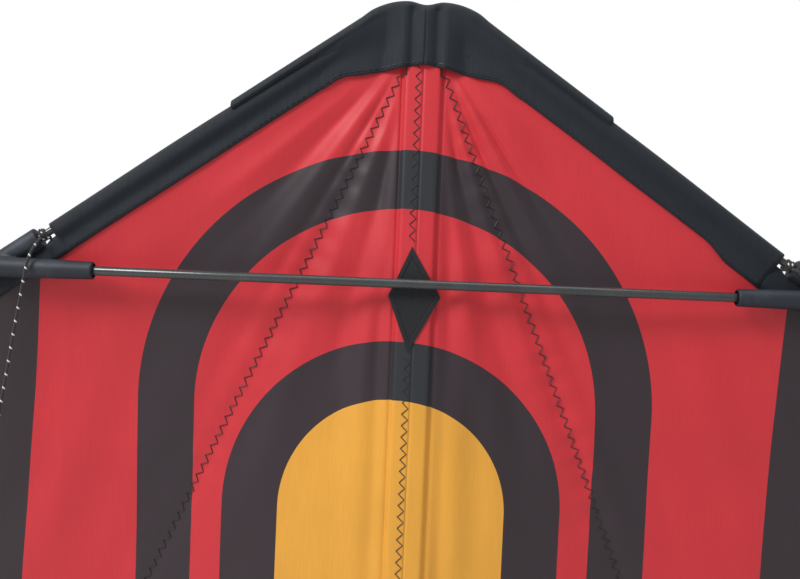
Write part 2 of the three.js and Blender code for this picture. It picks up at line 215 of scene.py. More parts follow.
def build_weave():
    """Height of a plain weave on a vector in metres, with yarns `Spacing` metres apart."""
    group, given, made = new_group(
        "thread_weave",
        [("Vector", "NodeSocketVector", None), ("Spacing", "NodeSocketFloat", 0.0005)],
        ["Height", "Slub"])
    parts = add_node(group, "ShaderNodeSeparateXYZ")
    group.links.new(given.outputs["Vector"], parts.inputs[0])
    turns = sums(group, "DIVIDE", 2 * math.pi, given.outputs["Spacing"])
    across = sums(group, "SINE", times(group, parts.outputs["X"], turns))
    along = sums(group, "SINE", times(group, parts.outputs["Y"], turns))
    both = times(group, across, along)
    group.links.new(both, made.inputs["Height"])
    slub = noise_at(group, given.outputs["Vector"], 9.0, 3.0, (90, 6, 1))
    group.links.new(slub, made.inputs["Slub"])
    return group


def build_wear():
    """A soft patchy mask, 0 to 1, for rub and dust on handled parts."""
    group, given, made = new_group(
        "handled_wear",
        [("Vector", "NodeSocketVector", None), ("Amount", "NodeSocketFloat", 0.5)], ["Mask"])
    coarse = noise_at(group, given.outputs["Vector"], 60.0, 4.0)
    fine = noise_at(group, given.outputs["Vector"], 900.0, 2.0)
    patch = ramp(group, coarse, 0.45, 0.75)
    mixed = times(group, patch, fine)
    mask = times(group, mixed, given.outputs["Amount"])
    group.links.new(mask, made.inputs["Mask"])
    return group


WEAVE = build_weave()
WEAR = build_wear()
print("groups", WEAVE.name, WEAR.name)

# %% Arch group for the dyed pattern
def build_arch():
    """1 inside an upright arch: a half disc of `Radius` on straight legs that run down."""
    group, given, made = new_group(
        "pattern_arch",
        [("X", "NodeSocketFloat", 0.0), ("Z", "NodeSocketFloat", 0.0),
         ("Spring", "NodeSocketFloat", 0.0), ("Radius", "NodeSocketFloat", 0.1)], ["Mask"])
    above = sums(group, "MAXIMUM", minus(group, given.outputs["Z"], given.outputs["Spring"]), 0.0)
    reach = sums(group, "SQRT", plus(group, sums(group, "POWER", given.outputs["X"], 2.0),
                                     sums(group, "POWER", above, 2.0)))
    inside = sums(group, "LESS_THAN", reach, given.outputs["Radius"])
    group.links.new(inside, made.inputs["Mask"])
    return group


ARCH = build_arch()


def group_node(tree, group, **values):
    step = add_node(tree, "ShaderNodeGroup", node_tree=group)
    for key, value in values.items():
        feed(tree, step.inputs[key], value)
    return step


print("arch group ready")

# %% [markdown]
# ## Sailcloth
# The sail is thin polyester, dyed in large plain fields: a red ground, two nested dark
# arches, a yellow field inside the inner arch, and dark side panels. The fields are found
# from the cloth's own flat coordinates, which its UV map holds, so the pattern bends and
# folds with the cloth. A fine weave, faint upright slubs and a soft sheen finish it.

# %% Sailcloth material
RED = linear(200, 45, 54)
DARK = linear(50, 39, 45)
YELLOW = linear(224, 160, 58)
STRIP_SHADED_DARK = linear(38, 45, 51)   # painted shade: two layers of cloth let less light through, so the dark print over them is painted darker and cooler
STRIP_SHADE_SHARE = 0.75
STRIP_X = 10.6           # half the width of the doubled strip that covers the spine
UV_SPAN = 1.6            # metres of cloth that one unit of the UV map stands for
SIDE_PANEL_X = 198
OUTER_FIELD_X = 345
PANEL_LEAN, PANEL_LEAN_FROM = 0.078, -145   # the left panel is dyed a little askew
PATTERN_CENTRE_X = -8    # the dyed pattern sits a little off the spine
OUTER_ARCH, OUTER_OPENING = (-218, 140), (-218, 109)   # where its legs spring, its radius
INNER_ARCH, YELLOW_FIELD = (-271, 92), (-271, 61)
SAIL_YARN = 0.0006       # metres from yarn to yarn


def cloth_position(tree):
    """The cloth's flat x and z in metres, from its UV map."""
    uv = add_node(tree, "ShaderNodeUVMap", uv_map="UVMap")
    parts = add_node(tree, "ShaderNodeSeparateXYZ")
    tree.links.new(uv.outputs[0], parts.inputs[0])
    x = times(tree, minus(tree, parts.outputs["X"], 0.5), UV_SPAN)
    z = times(tree, minus(tree, parts.outputs["Y"], 1.0), UV_SPAN)
    both = add_node(tree, "ShaderNodeCombineXYZ")
    tree.links.new(x, both.inputs["X"])
    tree.links.new(z, both.inputs["Y"])
    return x, z, both.outputs[0]


def sail_material():
    made, tree, shader = new_material("printed_sailcloth", 0.45, Sheen_Weight=0.12,
                                      Sheen_Roughness=0.4, Specular_IOR_Level=0.4)
    x, z, place = cloth_position(tree)
    side_x = sums(tree, "ABSOLUTE", x)
    pattern_x = minus(tree, x, PATTERN_CENTRE_X * MM)

    def arch(spring, radius):
        return group_node(tree, ARCH, X=pattern_x, Z=z, Spring=spring * MM,
                          Radius=radius * MM).outputs[0]

    outer = minus(tree, arch(*OUTER_ARCH), arch(*OUTER_OPENING))
    inner = arch(*INNER_ARCH)
    middle = arch(*YELLOW_FIELD)
    below = minus(tree, PANEL_LEAN_FROM * MM, z)
    lean = times(tree, times(tree, below, PANEL_LEAN), sums(tree, "LESS_THAN", x, 0.0))
    side = sums(tree, "GREATER_THAN", minus(tree, side_x, lean), SIDE_PANEL_X * MM)
    tip = sums(tree, "GREATER_THAN", side_x, OUTER_FIELD_X * MM)
    dark = sums(tree, "MAXIMUM", sums(tree, "MAXIMUM", outer, inner), minus(tree, side, tip))
    # painted shade where the dark print lies over the doubled spine strip
    doubled_shade = times(tree, sums(tree, "LESS_THAN", side_x, STRIP_X * MM), STRIP_SHADE_SHARE)
    colour = mix_colour(tree, dark, RED, mix_colour(tree, doubled_shade, DARK, STRIP_SHADED_DARK))
    colour = mix_colour(tree, middle, colour, YELLOW)
    weave = group_node(tree, WEAVE, Vector=place, Spacing=SAIL_YARN)
    cloudy = noise_at(tree, place, 14.0, 3.0)
    shade = plus(tree, ramp(tree, cloudy, 0.3, 0.7, 0.95, 1.04),
                 ramp(tree, weave.outputs["Slub"], 0.3, 0.7, -0.03, 0.03))
    grey = add_node(tree, "ShaderNodeCombineColor")
    for socket in grey.inputs:
        tree.links.new(shade, socket)
    colour = mix_colour(tree, 1.0, colour, grey.outputs[0], "MULTIPLY")
    tree.links.new(colour, shader.inputs["Base Color"])
    tree.links.new(ramp(tree, cloudy, 0.2, 0.8, 0.44, 0.56), shader.inputs["Roughness"])
    height = plus(tree, times(tree, weave.outputs["Height"], 0.5), weave.outputs["Slub"])
    bump(tree, shader, height, strength=0.12, distance=0.0002)
    return made


SAILCLOTH = sail_material()
print("material", SAILCLOTH.name)

# %% [markdown]
# ## Tape, thread, cord, rubber and carbon
# Edge tape is a coarser, duller weave than the sail. Thread and cord are twisted, and the
# bridle cord has a pale tracer yarn that shows as a fleck every few millimetres. The
# moulded parts are matt rubber, and the rods are ground carbon with a satin gloss.

# %% Tape and thread materials
PALE_YARN_WEAR_AND_HIGHLIGHT = 1.35         # how much lighter the tape's rubbed yarns are, and its raised yarns with a painted highlight


def tape_material(name, colour, spacing):
    made, tree, shader = new_material(name, 0.62, Sheen_Weight=0.1, Specular_IOR_Level=0.35)
    _, _, place = cloth_position(tree)
    weave = group_node(tree, WEAVE, Vector=place, Spacing=spacing)
    cloudy = noise_at(tree, place, 25.0, 3.0)
    worn_and_lit_yarn = tuple(min(1, c * PALE_YARN_WEAR_AND_HIGHLIGHT) for c in colour[:3]) + (1,)
    base = mix_colour(tree, ramp(tree, cloudy, 0.35, 0.7), colour, worn_and_lit_yarn)
    # painted highlight: the weave's raised yarns get the paler colour
    base = mix_colour(tree, ramp(tree, weave.outputs["Height"], -1, 1, 0.0, 0.35), base, worn_and_lit_yarn)
    tree.links.new(base, shader.inputs["Base Color"])
    tree.links.new(ramp(tree, weave.outputs["Slub"], 0.3, 0.7, 0.55, 0.7),
                   shader.inputs["Roughness"])
    bump(tree, shader, weave.outputs["Height"], strength=0.35, distance=0.0003)
    return made


def thread_material(name, shaded, lit):
    made, tree, shader = new_material(name, 0.5, Sheen_Weight=0.2)
    place = object_place(tree)
    twist = noise_at(tree, place, 2500.0, 1.0)
    # painted highlight and shade: the twist's noise mixes the thread's shaded and lit colours
    base = mix_colour(tree, ramp(tree, twist, 0.4, 0.6), shaded, lit)
    tree.links.new(base, shader.inputs["Base Color"])
    bump(tree, shader, twist, strength=0.4, distance=0.0001)
    return made


EDGE_TAPE = tape_material("edge_tape", linear(15, 23, 32), 0.0009)
PATCH_TAPE = tape_material("patch_tape", linear(19, 21, 26), 0.0007)
THREAD = thread_material("sewing_thread", linear(18, 9, 13), linear(38, 20, 26))
TAPE_THREAD = thread_material("tape_thread", linear(12, 16, 21), linear(27, 33, 40))
print("materials", EDGE_TAPE.name, PATCH_TAPE.name, THREAD.name, TAPE_THREAD.name)

# %% Bridle cord material
FLECK_PITCH = 6.9 * MM
FLECK_SHARE = 0.12       # of each pitch
BRAID_PITCH = 1.1 * MM


def cord_material():
    made, tree, shader = new_material("bridle_cord", 0.75, Sheen_Weight=0.2)
    uv = add_node(tree, "ShaderNodeUVMap", uv_map="UVMap")
    parts = add_node(tree, "ShaderNodeSeparateXYZ")
    tree.links.new(uv.outputs[0], parts.inputs[0])
    run = times(tree, parts.outputs["X"], 1 / FLECK_PITCH)
    slant = times(tree, parts.outputs["Y"], 0.3)
    beat = sums(tree, "FRACT", plus(tree, run, slant))
    fleck = sums(tree, "LESS_THAN", beat, FLECK_SHARE)
    braid_run = times(tree, parts.outputs["X"], 1 / BRAID_PITCH)
    turn = times(tree, parts.outputs["Y"], 4.0)
    ways = [sums(tree, "SINE", times(tree, way, 2 * math.pi))
            for way in (plus(tree, braid_run, turn), minus(tree, braid_run, turn))]
    braid = sums(tree, "MAXIMUM", *ways)
    # painted highlight: the braid's raised strands get the lighter grey
    base = mix_colour(tree, ramp(tree, braid, -0.5, 1), linear(14, 14, 16), linear(44, 44, 46))
    base = mix_colour(tree, fleck, base, linear(232, 232, 228))
    tree.links.new(base, shader.inputs["Base Color"])
    bump(tree, shader, braid, strength=0.6, distance=0.0002)
    return made


def knot_material():
    made, tree, shader = new_material("knotted_cord", 0.75, Sheen_Weight=0.2)
    place = object_place(tree)
    wave = add_node(tree, "ShaderNodeTexWave", wave_type="BANDS", bands_direction="DIAGONAL")
    tree.links.new(place, wave.inputs["Vector"])
    wave.inputs["Scale"].default_value = 700.0
    wave.inputs["Distortion"].default_value = 3.0
    pale = ramp(tree, noise_at(tree, place, 420.0, 1.0), 0.66, 0.68)
    # painted highlight: the raised bands of the wound strands get the lighter grey
    base = mix_colour(tree, ramp(tree, wave.outputs["Fac"], 0, 1), linear(14, 14, 16),
                      linear(46, 46, 48))
    base = mix_colour(tree, pale, base, linear(225, 225, 220))
    tree.links.new(base, shader.inputs["Base Color"])
    bump(tree, shader, wave.outputs["Fac"], strength=0.5, distance=0.0002)
    return made


CORD = cord_material()
KNOT = knot_material()
print("materials", CORD.name, KNOT.name)

# %% Rubber and carbon materials
def rubber_material():
    made, tree, shader = new_material("moulded_rubber", 0.55, Specular_IOR_Level=0.4)
    place = object_place(tree)
    wear = group_node(tree, WEAR, Vector=place, Amount=0.7).outputs[0]
    grain = noise_at(tree, place, 2600.0, 2.0)
    base = mix_colour(tree, wear, linear(35, 40, 49), linear(80, 86, 96))
    tree.links.new(base, shader.inputs["Base Color"])
    tree.links.new(ramp(tree, grain, 0.3, 0.7, 0.46, 0.62), shader.inputs["Roughness"])
    bump(tree, shader, grain, strength=0.18, distance=0.0002)
    return made


def carbon_material():
    made, tree, shader = new_material("ground_carbon", 0.28, Coat_Weight=0.35,
                                      Coat_Roughness=0.15)
    place = object_place(tree)
    wear = group_node(tree, WEAR, Vector=place, Amount=0.4).outputs[0]
    grain = noise_at(tree, place, 1500.0, 2.0)
    base = mix_colour(tree, wear, linear(50, 54, 55), linear(96, 99, 100))
    tree.links.new(base, shader.inputs["Base Color"])
    tree.links.new(ramp(tree, grain, 0.3, 0.7, 0.22, 0.36), shader.inputs["Roughness"])
    bump(tree, shader, grain, strength=0.08, distance=0.0001)
    return made


RUBBER = rubber_material()
CARBON = carbon_material()
print("materials", RUBBER.name, CARBON.name)

# %% [markdown]
# ## Room and light
# The kite hangs over a plain pale floor in front of a white room. A broad soft light above
# and to the left shades the right-hand half of the sail a little, as the billow turns it
# away, and the bright world behind keeps the background white.

# %% Floor, world and lights
def soft_light(name, place, aim, size, power):
    data = bpy.data.lights.new(name, "AREA")
    data.shape = "RECTANGLE"
    data.size, data.size_y = size
    data.energy = power
    lamp = bpy.data.objects.new(name, data)
    scene.collection.objects.link(lamp)
    lamp.location = place
    lamp.rotation_euler = (Vector(aim) - Vector(place)).to_track_quat("-Z", "Y").to_euler()
    return lamp


def deselect():
    bpy.ops.object.select_all(action="DESELECT")


FLOOR_Z = -0.64
ROOM_LIGHT = 0.5         # on the kite; the camera sees the room itself at full white
deselect()
bpy.ops.mesh.primitive_plane_add(size=16, location=(0, 0, FLOOR_Z))
floor = bpy.context.object
floor.name = "floor"
bpy.ops.object.transform_apply(location=True, rotation=True, scale=True)
floor_material, floor_tree, floor_shader = new_material("pale_floor", 0.9)
floor_tone = mix_colour(floor_tree, noise_at(floor_tree, object_place(floor_tree), 3.0, 4.0),
                        (0.72, 0.72, 0.71, 1), (0.78, 0.78, 0.77, 1))
floor_tree.links.new(floor_tone, floor_shader.inputs["Base Color"])
floor.data.materials.append(floor_material)
floor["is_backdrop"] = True

world = bpy.data.worlds.new("white_room")
scene.world = world
world.use_nodes = True
room = world.node_tree
room.nodes["Background"].inputs["Color"].default_value = (1, 1, 1, 1)
seen = add_node(room, "ShaderNodeLightPath").outputs["Is Camera Ray"]
feed(room, room.nodes["Background"].inputs["Strength"], ramp(room, seen, 0, 1, ROOM_LIGHT, 1.0))
scene.view_settings.view_transform = "Standard"
soft_light("key", (-1.2, -1.05, 0.95), (0, 0, -0.2), size=(0.6, 0.6), power=26)
soft_light("top", (0.2, -0.5, 1.4), (0, 0, -0.2), size=(1.6, 1.0), power=9)
print("floor at", FLOOR_Z, "lights 2")

# %% [markdown]
# ## Bridle cords
# The bridle is limp braided cord, 1.5 mm across. On each side three legs run from knots on
# the frame to one tow knot, and a short pigtail hangs from that, where a flying line would
# be looped on. Each leg follows a listed route that sags under its own weight. A
# smooth curve through the points is swept with a round section, and its UV map runs along
# the cord, so the pale tracer falls at an even pitch.

# %% Routes
LEFT, RIGHT = "left", "right"
SIGN = {LEFT: -1, RIGHT: 1}
CORD_R = 0.75
# Each place is x, y, z; x is measured outwards from the spine on either side.
ROUTES = {
    "bridle_upper_leg": {
        RIGHT: [(197.2, -5.2, -132.4), (200, -8.5, -134.2), (204, -11.6, -137.6),
                (208.4, -14.2, -142), (212.6, -15.4, -147.5), (216, -15.9, -154),
                (220, -16, -163), (227, -16.2, -185), (235, -16.6, -212), (244, -17.1, -243),
                (254, -17.9, -280), (264, -19, -320), (273, -20.2, -360), (281.5, -21.5, -400),
                (289.5, -22.9, -441), (297.6, -24, -484.4)],
        LEFT: [(197.2, -5.2, -132.4), (197.5, -7.6, -134.6), (197.9, -10.4, -137),
               (198.4, -13, -140.2), (199, -14.8, -144.2), (199.6, -15.7, -149),
               (200.4, -15.9, -154.8), (201.4, -16, -162.2), (204, -16.1, -180.4),
               (207.4, -16.4, -207), (211.6, -16.9, -238), (217.2, -17.8, -277),
               (223.6, -18.9, -318), (230.4, -20.1, -360), (237.2, -21.5, -402),
               (244, -22.9, -444), (251.3, -24, -486.3)]},
    "bridle_outer_leg": {
        RIGHT: [(541.5, -5.2, -373.5), (538, -8.4, -376.8), (533, -12, -381),
                (526.5, -15, -386.2), (518, -16.8, -392.5), (507, -17.6, -400),
                (492, -18.3, -409.5), (472, -19.1, -421), (450, -19.9, -432.5),
                (427, -20.7, -443.5), (404, -21.5, -453.5), (381, -22.3, -462.5),
                (358, -23, -470.5), (336, -23.6, -477.5), (317, -24, -483),
                (302.3, -24, -486.9)],
        LEFT: [(541.5, -5.2, -373.5), (538, -8.4, -376.5), (533, -12, -380.5),
               (526, -15, -385.5), (517, -16.8, -391.5), (506, -17.6, -398),
               (490, -18.2, -407), (468, -18.9, -418.5), (442, -19.7, -431),
               (414, -20.5, -443.5), (385, -21.3, -455), (355, -22.1, -465.5),
               (325, -22.9, -475), (295, -23.6, -483), (270, -24, -488.4),
               (255.9, -24, -490.4)]},
    "bridle_inner_leg": {
        RIGHT: [(20, -13.8, -395), (21.5, -15.6, -398.5), (25, -17, -404), (31, -18, -411.5),
                (41, -18.9, -421.5), (55, -19.7, -433.5), (73, -20.5, -446),
                (95, -21.2, -458.5), (119, -21.9, -469.5), (145, -22.5, -478.5),
                (172, -23.1, -485.5), (200, -23.6, -490.3), (228, -23.9, -492.6),
                (254, -24, -492.6), (278, -24, -490.9), (294.7, -24, -488.7)],
        LEFT: [(20, -13.8, -395), (21.5, -15.6, -398), (24.5, -17, -402.5),
               (29, -18, -408.5), (36, -18.8, -416), (46, -19.6, -425.5), (60, -20.4, -437),
               (78, -21.2, -449.5), (98, -21.9, -461), (120, -22.6, -471),
               (144, -23.2, -479.5), (168, -23.6, -486), (192, -23.9, -490.5),
               (214, -24, -492.8), (234, -24, -493), (248.1, -24, -491.2)]},
}
TOW_KNOTS = {RIGHT: (298.5, -24, -488), LEFT: (252, -24, -490)}
PIGTAIL = [(0, 0, -4), (0.2, -0.1, -7), (0.5, -0.2, -10), (0.9, -0.3, -13), (1.2, -0.3, -16),
           (1.5, -0.3, -19), (1.6, -0.3, -22), (1.5, -0.2, -25), (1.2, -0.1, -28),
           (0.8, 0, -31), (0.4, 0, -34), (0.1, 0, -37), (0, 0, -40), (0, 0, -43),
           (0, 0, -46)]
print("routes for", len(ROUTES), "legs a side")

# %% A smooth line through route points
def centripetal_spot(p, t):
    """A point between p[1] and p[2] of four, on the curve that leaves no loops or overshoot."""
    knots = [0.0]
    for a, b in zip(p, p[1:]):
        knots.append(knots[-1] + max((b - a).length, 1e-9) ** 0.5)
    at = knots[1] + t * (knots[2] - knots[1])

    def between(a, b, i, j):
        return ((knots[j] - at) * a + (at - knots[i]) * b) / (knots[j] - knots[i])

    sides = [between(p[i], p[i + 1], i, i + 1) for i in range(3)]
    halves = [between(sides[i], sides[i + 1], i, i + 2) for i in range(2)]
    return between(*halves, 1, 2)


def smooth_line(points, pitch):
    """Points about `pitch` apart on a smooth curve through the given ones."""
    points = [Vector(p) for p in points]
    padded = [2 * points[0] - points[1], *points, 2 * points[-1] - points[-2]]
    line = []
    for i in range(1, len(padded) - 2):
        steps = max(1, round((padded[i + 1] - padded[i]).length / pitch))
        line += [centripetal_spot(padded[i - 1:i + 3], k / steps) for k in range(steps)]
    return line + [points[-1]]


def line_length(line):
    return sum((b - a).length for a, b in zip(line, line[1:]))


print("test length", round(line_length(smooth_line(PIGTAIL, 1.5)), 1), "mm")

# %% A tube swept along a line
def mesh_piece(name, verts, faces, material, uv=None, smooth=True):
    """A new piece from points in metres, with its UV map given per point."""
    mesh = bpy.data.meshes.new(name)
    mesh.from_pydata([tuple(v) for v in verts], [], faces)
    mesh.validate()
    if uv:
        layer = mesh.uv_layers.new(name="UVMap")
        for loop in mesh.loops:
            layer.data[loop.index].uv = uv[loop.vertex_index]
    for face in mesh.polygons:
        face.use_smooth = smooth
    mesh.materials.append(material)
    made = bpy.data.objects.new(name, mesh)
    scene.collection.objects.link(made)
    return made


def sweep_rings(line, radius, sides):
    """Ring corners round each point of a line, turned as little as possible on the way."""
    rings, side = [], None
    for i, point in enumerate(line):
        ahead = (line[min(i + 1, len(line) - 1)] - line[max(i - 1, 0)]).normalized()
        side = ahead.orthogonal() if side is None else side - ahead * side.dot(ahead)
        side.normalize()
        up = ahead.cross(side)
        rings.append([point + radius * (math.cos(a) * side + math.sin(a) * up)
                      for a in (2 * math.pi * k / sides for k in range(sides))])
    return rings


def tube(name, line, radius, material, sides=10):
    """A closed round tube in metres; U runs along it in metres and V once round it."""
    line = [p * MM for p in line]
    rings = sweep_rings(line, radius * MM, sides)
    verts, uv, faces, run = [], [], [], 0.0
    for i, ring in enumerate(rings):
        run += (line[i] - line[i - 1]).length if i else 0.0
        for k in range(sides + 1):
            verts.append(ring[k % sides])
            uv.append((run, k / sides))
    stride = sides + 1
    for i in range(len(rings) - 1):
        for k in range(sides):
            a = i * stride + k
            faces.append((a, a + 1, a + 1 + stride, a + stride))
    last = (len(rings) - 1) * stride
    faces.append(tuple(range(sides - 1, -1, -1)))
    faces.append(tuple(last + k for k in range(sides)))
    return mesh_piece(name, verts, faces, material, uv)


print("tube helper ready")

# %% Knots on cords
BALL_STEPS = 78


def knot_piece(name, centre, radius):
    """An overhand knot: one thick cord wound round itself in a tight ball."""
    centre = Vector(centre)
    line = []
    for i in range(BALL_STEPS + 1):
        a = 2 * math.pi * i / BALL_STEPS
        reach = radius * (0.52 + 0.2 * math.cos(3 * a))
        line.append(centre + Vector((reach * math.cos(2 * a), reach * math.sin(2 * a) * 0.9,
                                     radius * 0.42 * math.sin(3 * a))))
    return tube(name, line, radius * 0.33, KNOT, sides=8)


cord_report = []
for side in (LEFT, RIGHT):
    mirror = SIGN[side]
    wing = side + "_wing"
    tow_at = Vector((mirror * TOW_KNOTS[side][0], *TOW_KNOTS[side][1:]))
    tow = knot_piece(side + "_tow_knot_turns", tow_at, 3.0)
    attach(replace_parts(tow, side + "_tow_knot"), wing)
    end = knot_piece(side + "_pigtail_knot_turns", tow_at + Vector((0, 0, -48.6)), 2.2)
    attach(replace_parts(end, side + "_pigtail_knot"), wing)
    routes = {name: [Vector((mirror * x, y, z)) for x, y, z in both[side]]
              for name, both in ROUTES.items()}
    routes["pigtail"] = [Vector((mirror * x, y, z)) + tow_at for x, y, z in PIGTAIL]
    for name, points in routes.items():
        line = smooth_line(points, pitch=2.0)
        cord = tube(side + "_" + name + "_cord", line, CORD_R, CORD)
        length = line_length(line) * MM
        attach(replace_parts(cord, side + "_" + name), wing)
        cord_report.append((cord.name, round(length, 3)))
for name, length in cord_report:
    print(name, length, "m")

# %% [markdown]
# ## The sail
# Each wing's cloth is one sheet from the middle of the spine strip to the leading edge. It
# is drawn on a fine grid in its flat, sewn shape, and its depth is built up in layers: the
# billow, the raised strip over the spine, the pull of the two diagonal seams, folds that
# fan from the nose, and broad soft waves. Moving the points one by one gives taut cloth its
# shape better than a draping simulation, which would let it hang.

# %% The kite's plan
SWEEP = math.radians(35)
APEX_Z = 7.6
EDGE_INSET = 16.5
STRIP_Y = -3.6
SEAM_START = (9, -32)
SEAM_LEAN = {LEFT: math.radians(24.9), RIGHT: math.radians(22.0)}
STANDOFF_X = 215
UPPER_CROSSING, LOWER_CROSSING = 272, 700
SPREADER_Y = -8.2


def smooth_step(low, high, value):
    t = min(1.0, max(0.0, (value - low) / (high - low)))
    return t * t * (3 - 2 * t)


def hump(value, centre, width):
    return math.exp(-((value - centre) / width) ** 2)


def lerp(a, b, t):
    return a + (b - a) * t


def edge_spot(s, inward=0.0):
    """A place on a right-hand leading edge: s along the rod, and inward from its axis."""
    return (s * math.cos(SWEEP) - inward * math.sin(SWEEP),
            APEX_Z - s * math.sin(SWEEP) - inward * math.cos(SWEEP))


def scallop(u):
    """How far the trailing edge lies above the straight line from tail to tip."""
    meet = (STANDOFF_X - 11.5) / (edge_spot(838, EDGE_INSET)[0] - 11.5)
    if u < meet:
        return 38 * u / meet + 10 * math.sin(math.pi * u / meet)
    along = (u - meet) / (1 - meet)
    return 38 * (1 - along) + 34 * math.sin(math.pi * along)


print("trailing edge rises", round(scallop(0.5), 1), "mm at mid wing")

# %% The depth of the cloth
# Each fold from the nose: its lean in degrees, its width, its depth and its reach in mm.
FANS = {LEFT: [(8, 1.8, -1.2, 230), (13, 2.2, 1.4, 250), (19, 2.4, -1.0, 270),
               (29, 1.7, 1.1, 240), (34, 2.2, -0.8, 210), (41, 2.6, 1.1, 190),
               (48, 2.2, -0.8, 160), (53, 1.8, 0.8, 130)],
        RIGHT: [(7, 1.6, 1.4, 230), (11, 1.6, -1.2, 270), (15.5, 1.9, 1.9, 280),
                (20, 1.5, -1.2, 260), (26.5, 1.7, 2.2, 260), (31, 1.3, -1.3, 170),
                (34.5, 1.2, 1.6, 150), (41, 2.6, -1.0, 190), (48, 2.2, 1.2, 150)]}


def seam_place(side, x, z):
    """Distance across and along the diagonal seam."""
    dx, dz = x - SEAM_START[0], z - SEAM_START[1]
    lean = SEAM_LEAN[side]
    return (dx * math.cos(lean) + dz * math.sin(lean),
            dx * math.sin(lean) - dz * math.cos(lean))


def wrinkles(x, z, side):
    """Depth in mm of the folds in the cloth; a negative one stands towards the front."""
    seed = 3.1 if side == LEFT else 8.7
    from_nose = math.hypot(x, z + 12)
    lean = math.degrees(math.atan2(x, -(z + 12)))
    depth = 0.0
    for centre, width, height, reach in FANS[side]:
        fade = 1 - smooth_step(0.45 * reach, 1.3 * reach, from_nose)
        depth += height * hump(lean, centre, width) * (smooth_step(20, 70, from_nose) * fade)
    across, along = seam_place(side, x, z)
    wander = noise.noise(Vector((along / 34, seed, 0)))
    fine_wander = noise.noise(Vector((along / 11, seed, 5)))
    fade = smooth_step(-5, 30, along)
    depth += fade * hump(across, 0, 5) * 0.9
    gathers = math.sin(2 * math.pi * along / 16 + 5 * wander)
    depth += fade * math.exp(-abs(across) / 8) * 0.75 * gathers
    depth += fade * math.exp(-abs(across) / 20) * 1.5 * wander
    depth += fade * hump(across, 0, 3.5) * 0.6 * fine_wander
    low = smooth_step(-60, -200, z)
    depth += low * (1.0 * hump(x, 17, 3.6) - 0.9 * hump(x, 26, 5) + 0.7 * hump(x, 38, 6))
    depth += 3.0 * noise.noise(Vector((x / 70, z / 120, seed)))
    depth += 1.5 * noise.noise(Vector((x / 24 + z / 80, z / 70, seed + 4)))
    return depth


FOREMOST_Y, FOREMOST_GIVE = -2.6, 2.2


def clear_of_frame(y):
    """Holds the cloth's foremost folds back, so that they stay behind the spreaders."""
    if y > FOREMOST_Y:
        return y
    return FOREMOST_Y - FOREMOST_GIVE * math.tanh((FOREMOST_Y - y) / FOREMOST_GIVE)


def cloth_depth(x, u, v):
    """The cloth's y in mm, folds aside: u runs across the wing and v down it."""
    billow = 48 * max(v, 0) ** 1.4 * math.sin(math.pi * max(u, 0))
    strip = STRIP_Y + 0.35 * (x / 8) ** 2
    drop = smooth_step(8.6, STRIP_X, x)
    beyond = -1.1 * math.exp(-max(x - STRIP_X, 0) / 7) + billow
    crease = 0.9 * hump(x, STRIP_X + 0.3, 0.9)
    return lerp(strip, beyond, drop) + crease


print("depth at the spine", round(cloth_depth(0, -0.1, 0.1), 2), "mm")

# %% Sail sheets
CLOTH_TOP, CLOTH_END = -24, -606
STRIP_COLUMNS = [0, 1.5, 3, 4.5, 6, 7.5, 8.6, 9.3, 9.9, 10.4, 10.9, 11.5]
WING_COLUMNS, WING_ROWS = 132, 150


def cloth_uv(x, z):
    return (0.5 + x * MM / UV_SPAN, 1 + z * MM / UV_SPAN)


def grid_faces(columns, rows, flip):
    faces = []
    for j in range(rows):
        for i in range(columns):
            a = j * (columns + 1) + i
            face = (a, a + 1, a + columns + 2, a + columns + 1)
            faces.append(tuple(reversed(face)) if flip else face)
    return faces


def sail_places(side):
    """Every grid point of one wing, as x, y, z of the right-hand wing in mm."""
    rows = []
    for j in range(WING_ROWS + 1):
        v = j / WING_ROWS
        outer_x, outer_z = edge_spot(lerp(24, 838, v), EDGE_INSET - 2.5)
        inner_z = lerp(CLOTH_TOP, CLOTH_END, v)
        row = [(x, inner_z, -0.01) for x in STRIP_COLUMNS[:-1]]
        for i in range(WING_COLUMNS + 1):
            u = (i / WING_COLUMNS) ** 1.12
            z = lerp(inner_z, outer_z, u) + v * v * scallop(u)
            row.append((lerp(11.5, outer_x, u), z, u))
        places = []
        for x, z, u in row:
            y = cloth_depth(x, u, v)
            to_edge = (1 - max(u, 0)) * (outer_x - 11.5)
            calm = smooth_step(0, 26, to_edge) * smooth_step(STRIP_X + 0.5, STRIP_X + 10, x)
            calm *= smooth_step(0, 0.04, v)
            y = clear_of_frame(y + wrinkles(x, z, side) * calm)
            y += (0.35 * noise.noise(Vector((x / 9, z / 60, 1.5 * SIGN[side])))
                  * (1 - smooth_step(8, 10, x)) * smooth_step(0, 3, x))
            places.append((x, y, z))
        rows.append(places)
    return rows


def activate(piece):
    deselect()
    piece.select_set(True)
    bpy.context.view_layer.objects.active = piece


def apply_modifier(piece, kind, **settings):
    """Gives the piece a modifier with these settings and makes it permanent."""
    activate(piece)
    made = piece.modifiers.new(kind.lower(), kind)
    for key, value in settings.items():
        setattr(made, key, value)
    bpy.ops.object.modifier_apply(modifier=made.name)
    return piece


def finish_solid(piece, thickness, offset=0.0):
    """Gives a sheet its thickness in mm."""
    return apply_modifier(piece, "SOLIDIFY", thickness=thickness * MM, offset=offset,
                          use_even_offset=False)


def blend_to_wing(piece, side):
    """Fixes the piece's place in its mesh."""
    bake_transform(piece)
    return piece


def flat_area(rows):
    """The area of a grid of x, y, z places laid flat in x and z, in square metres."""
    total = 0.0
    for upper, lower in zip(rows, rows[1:]):
        for a, b, c, d in zip(upper, upper[1:], lower[1:], lower):
            total += abs((c[0] - a[0]) * (d[2] - b[2]) - (d[0] - b[0]) * (c[2] - a[2])) / 2
    return total * MM * MM


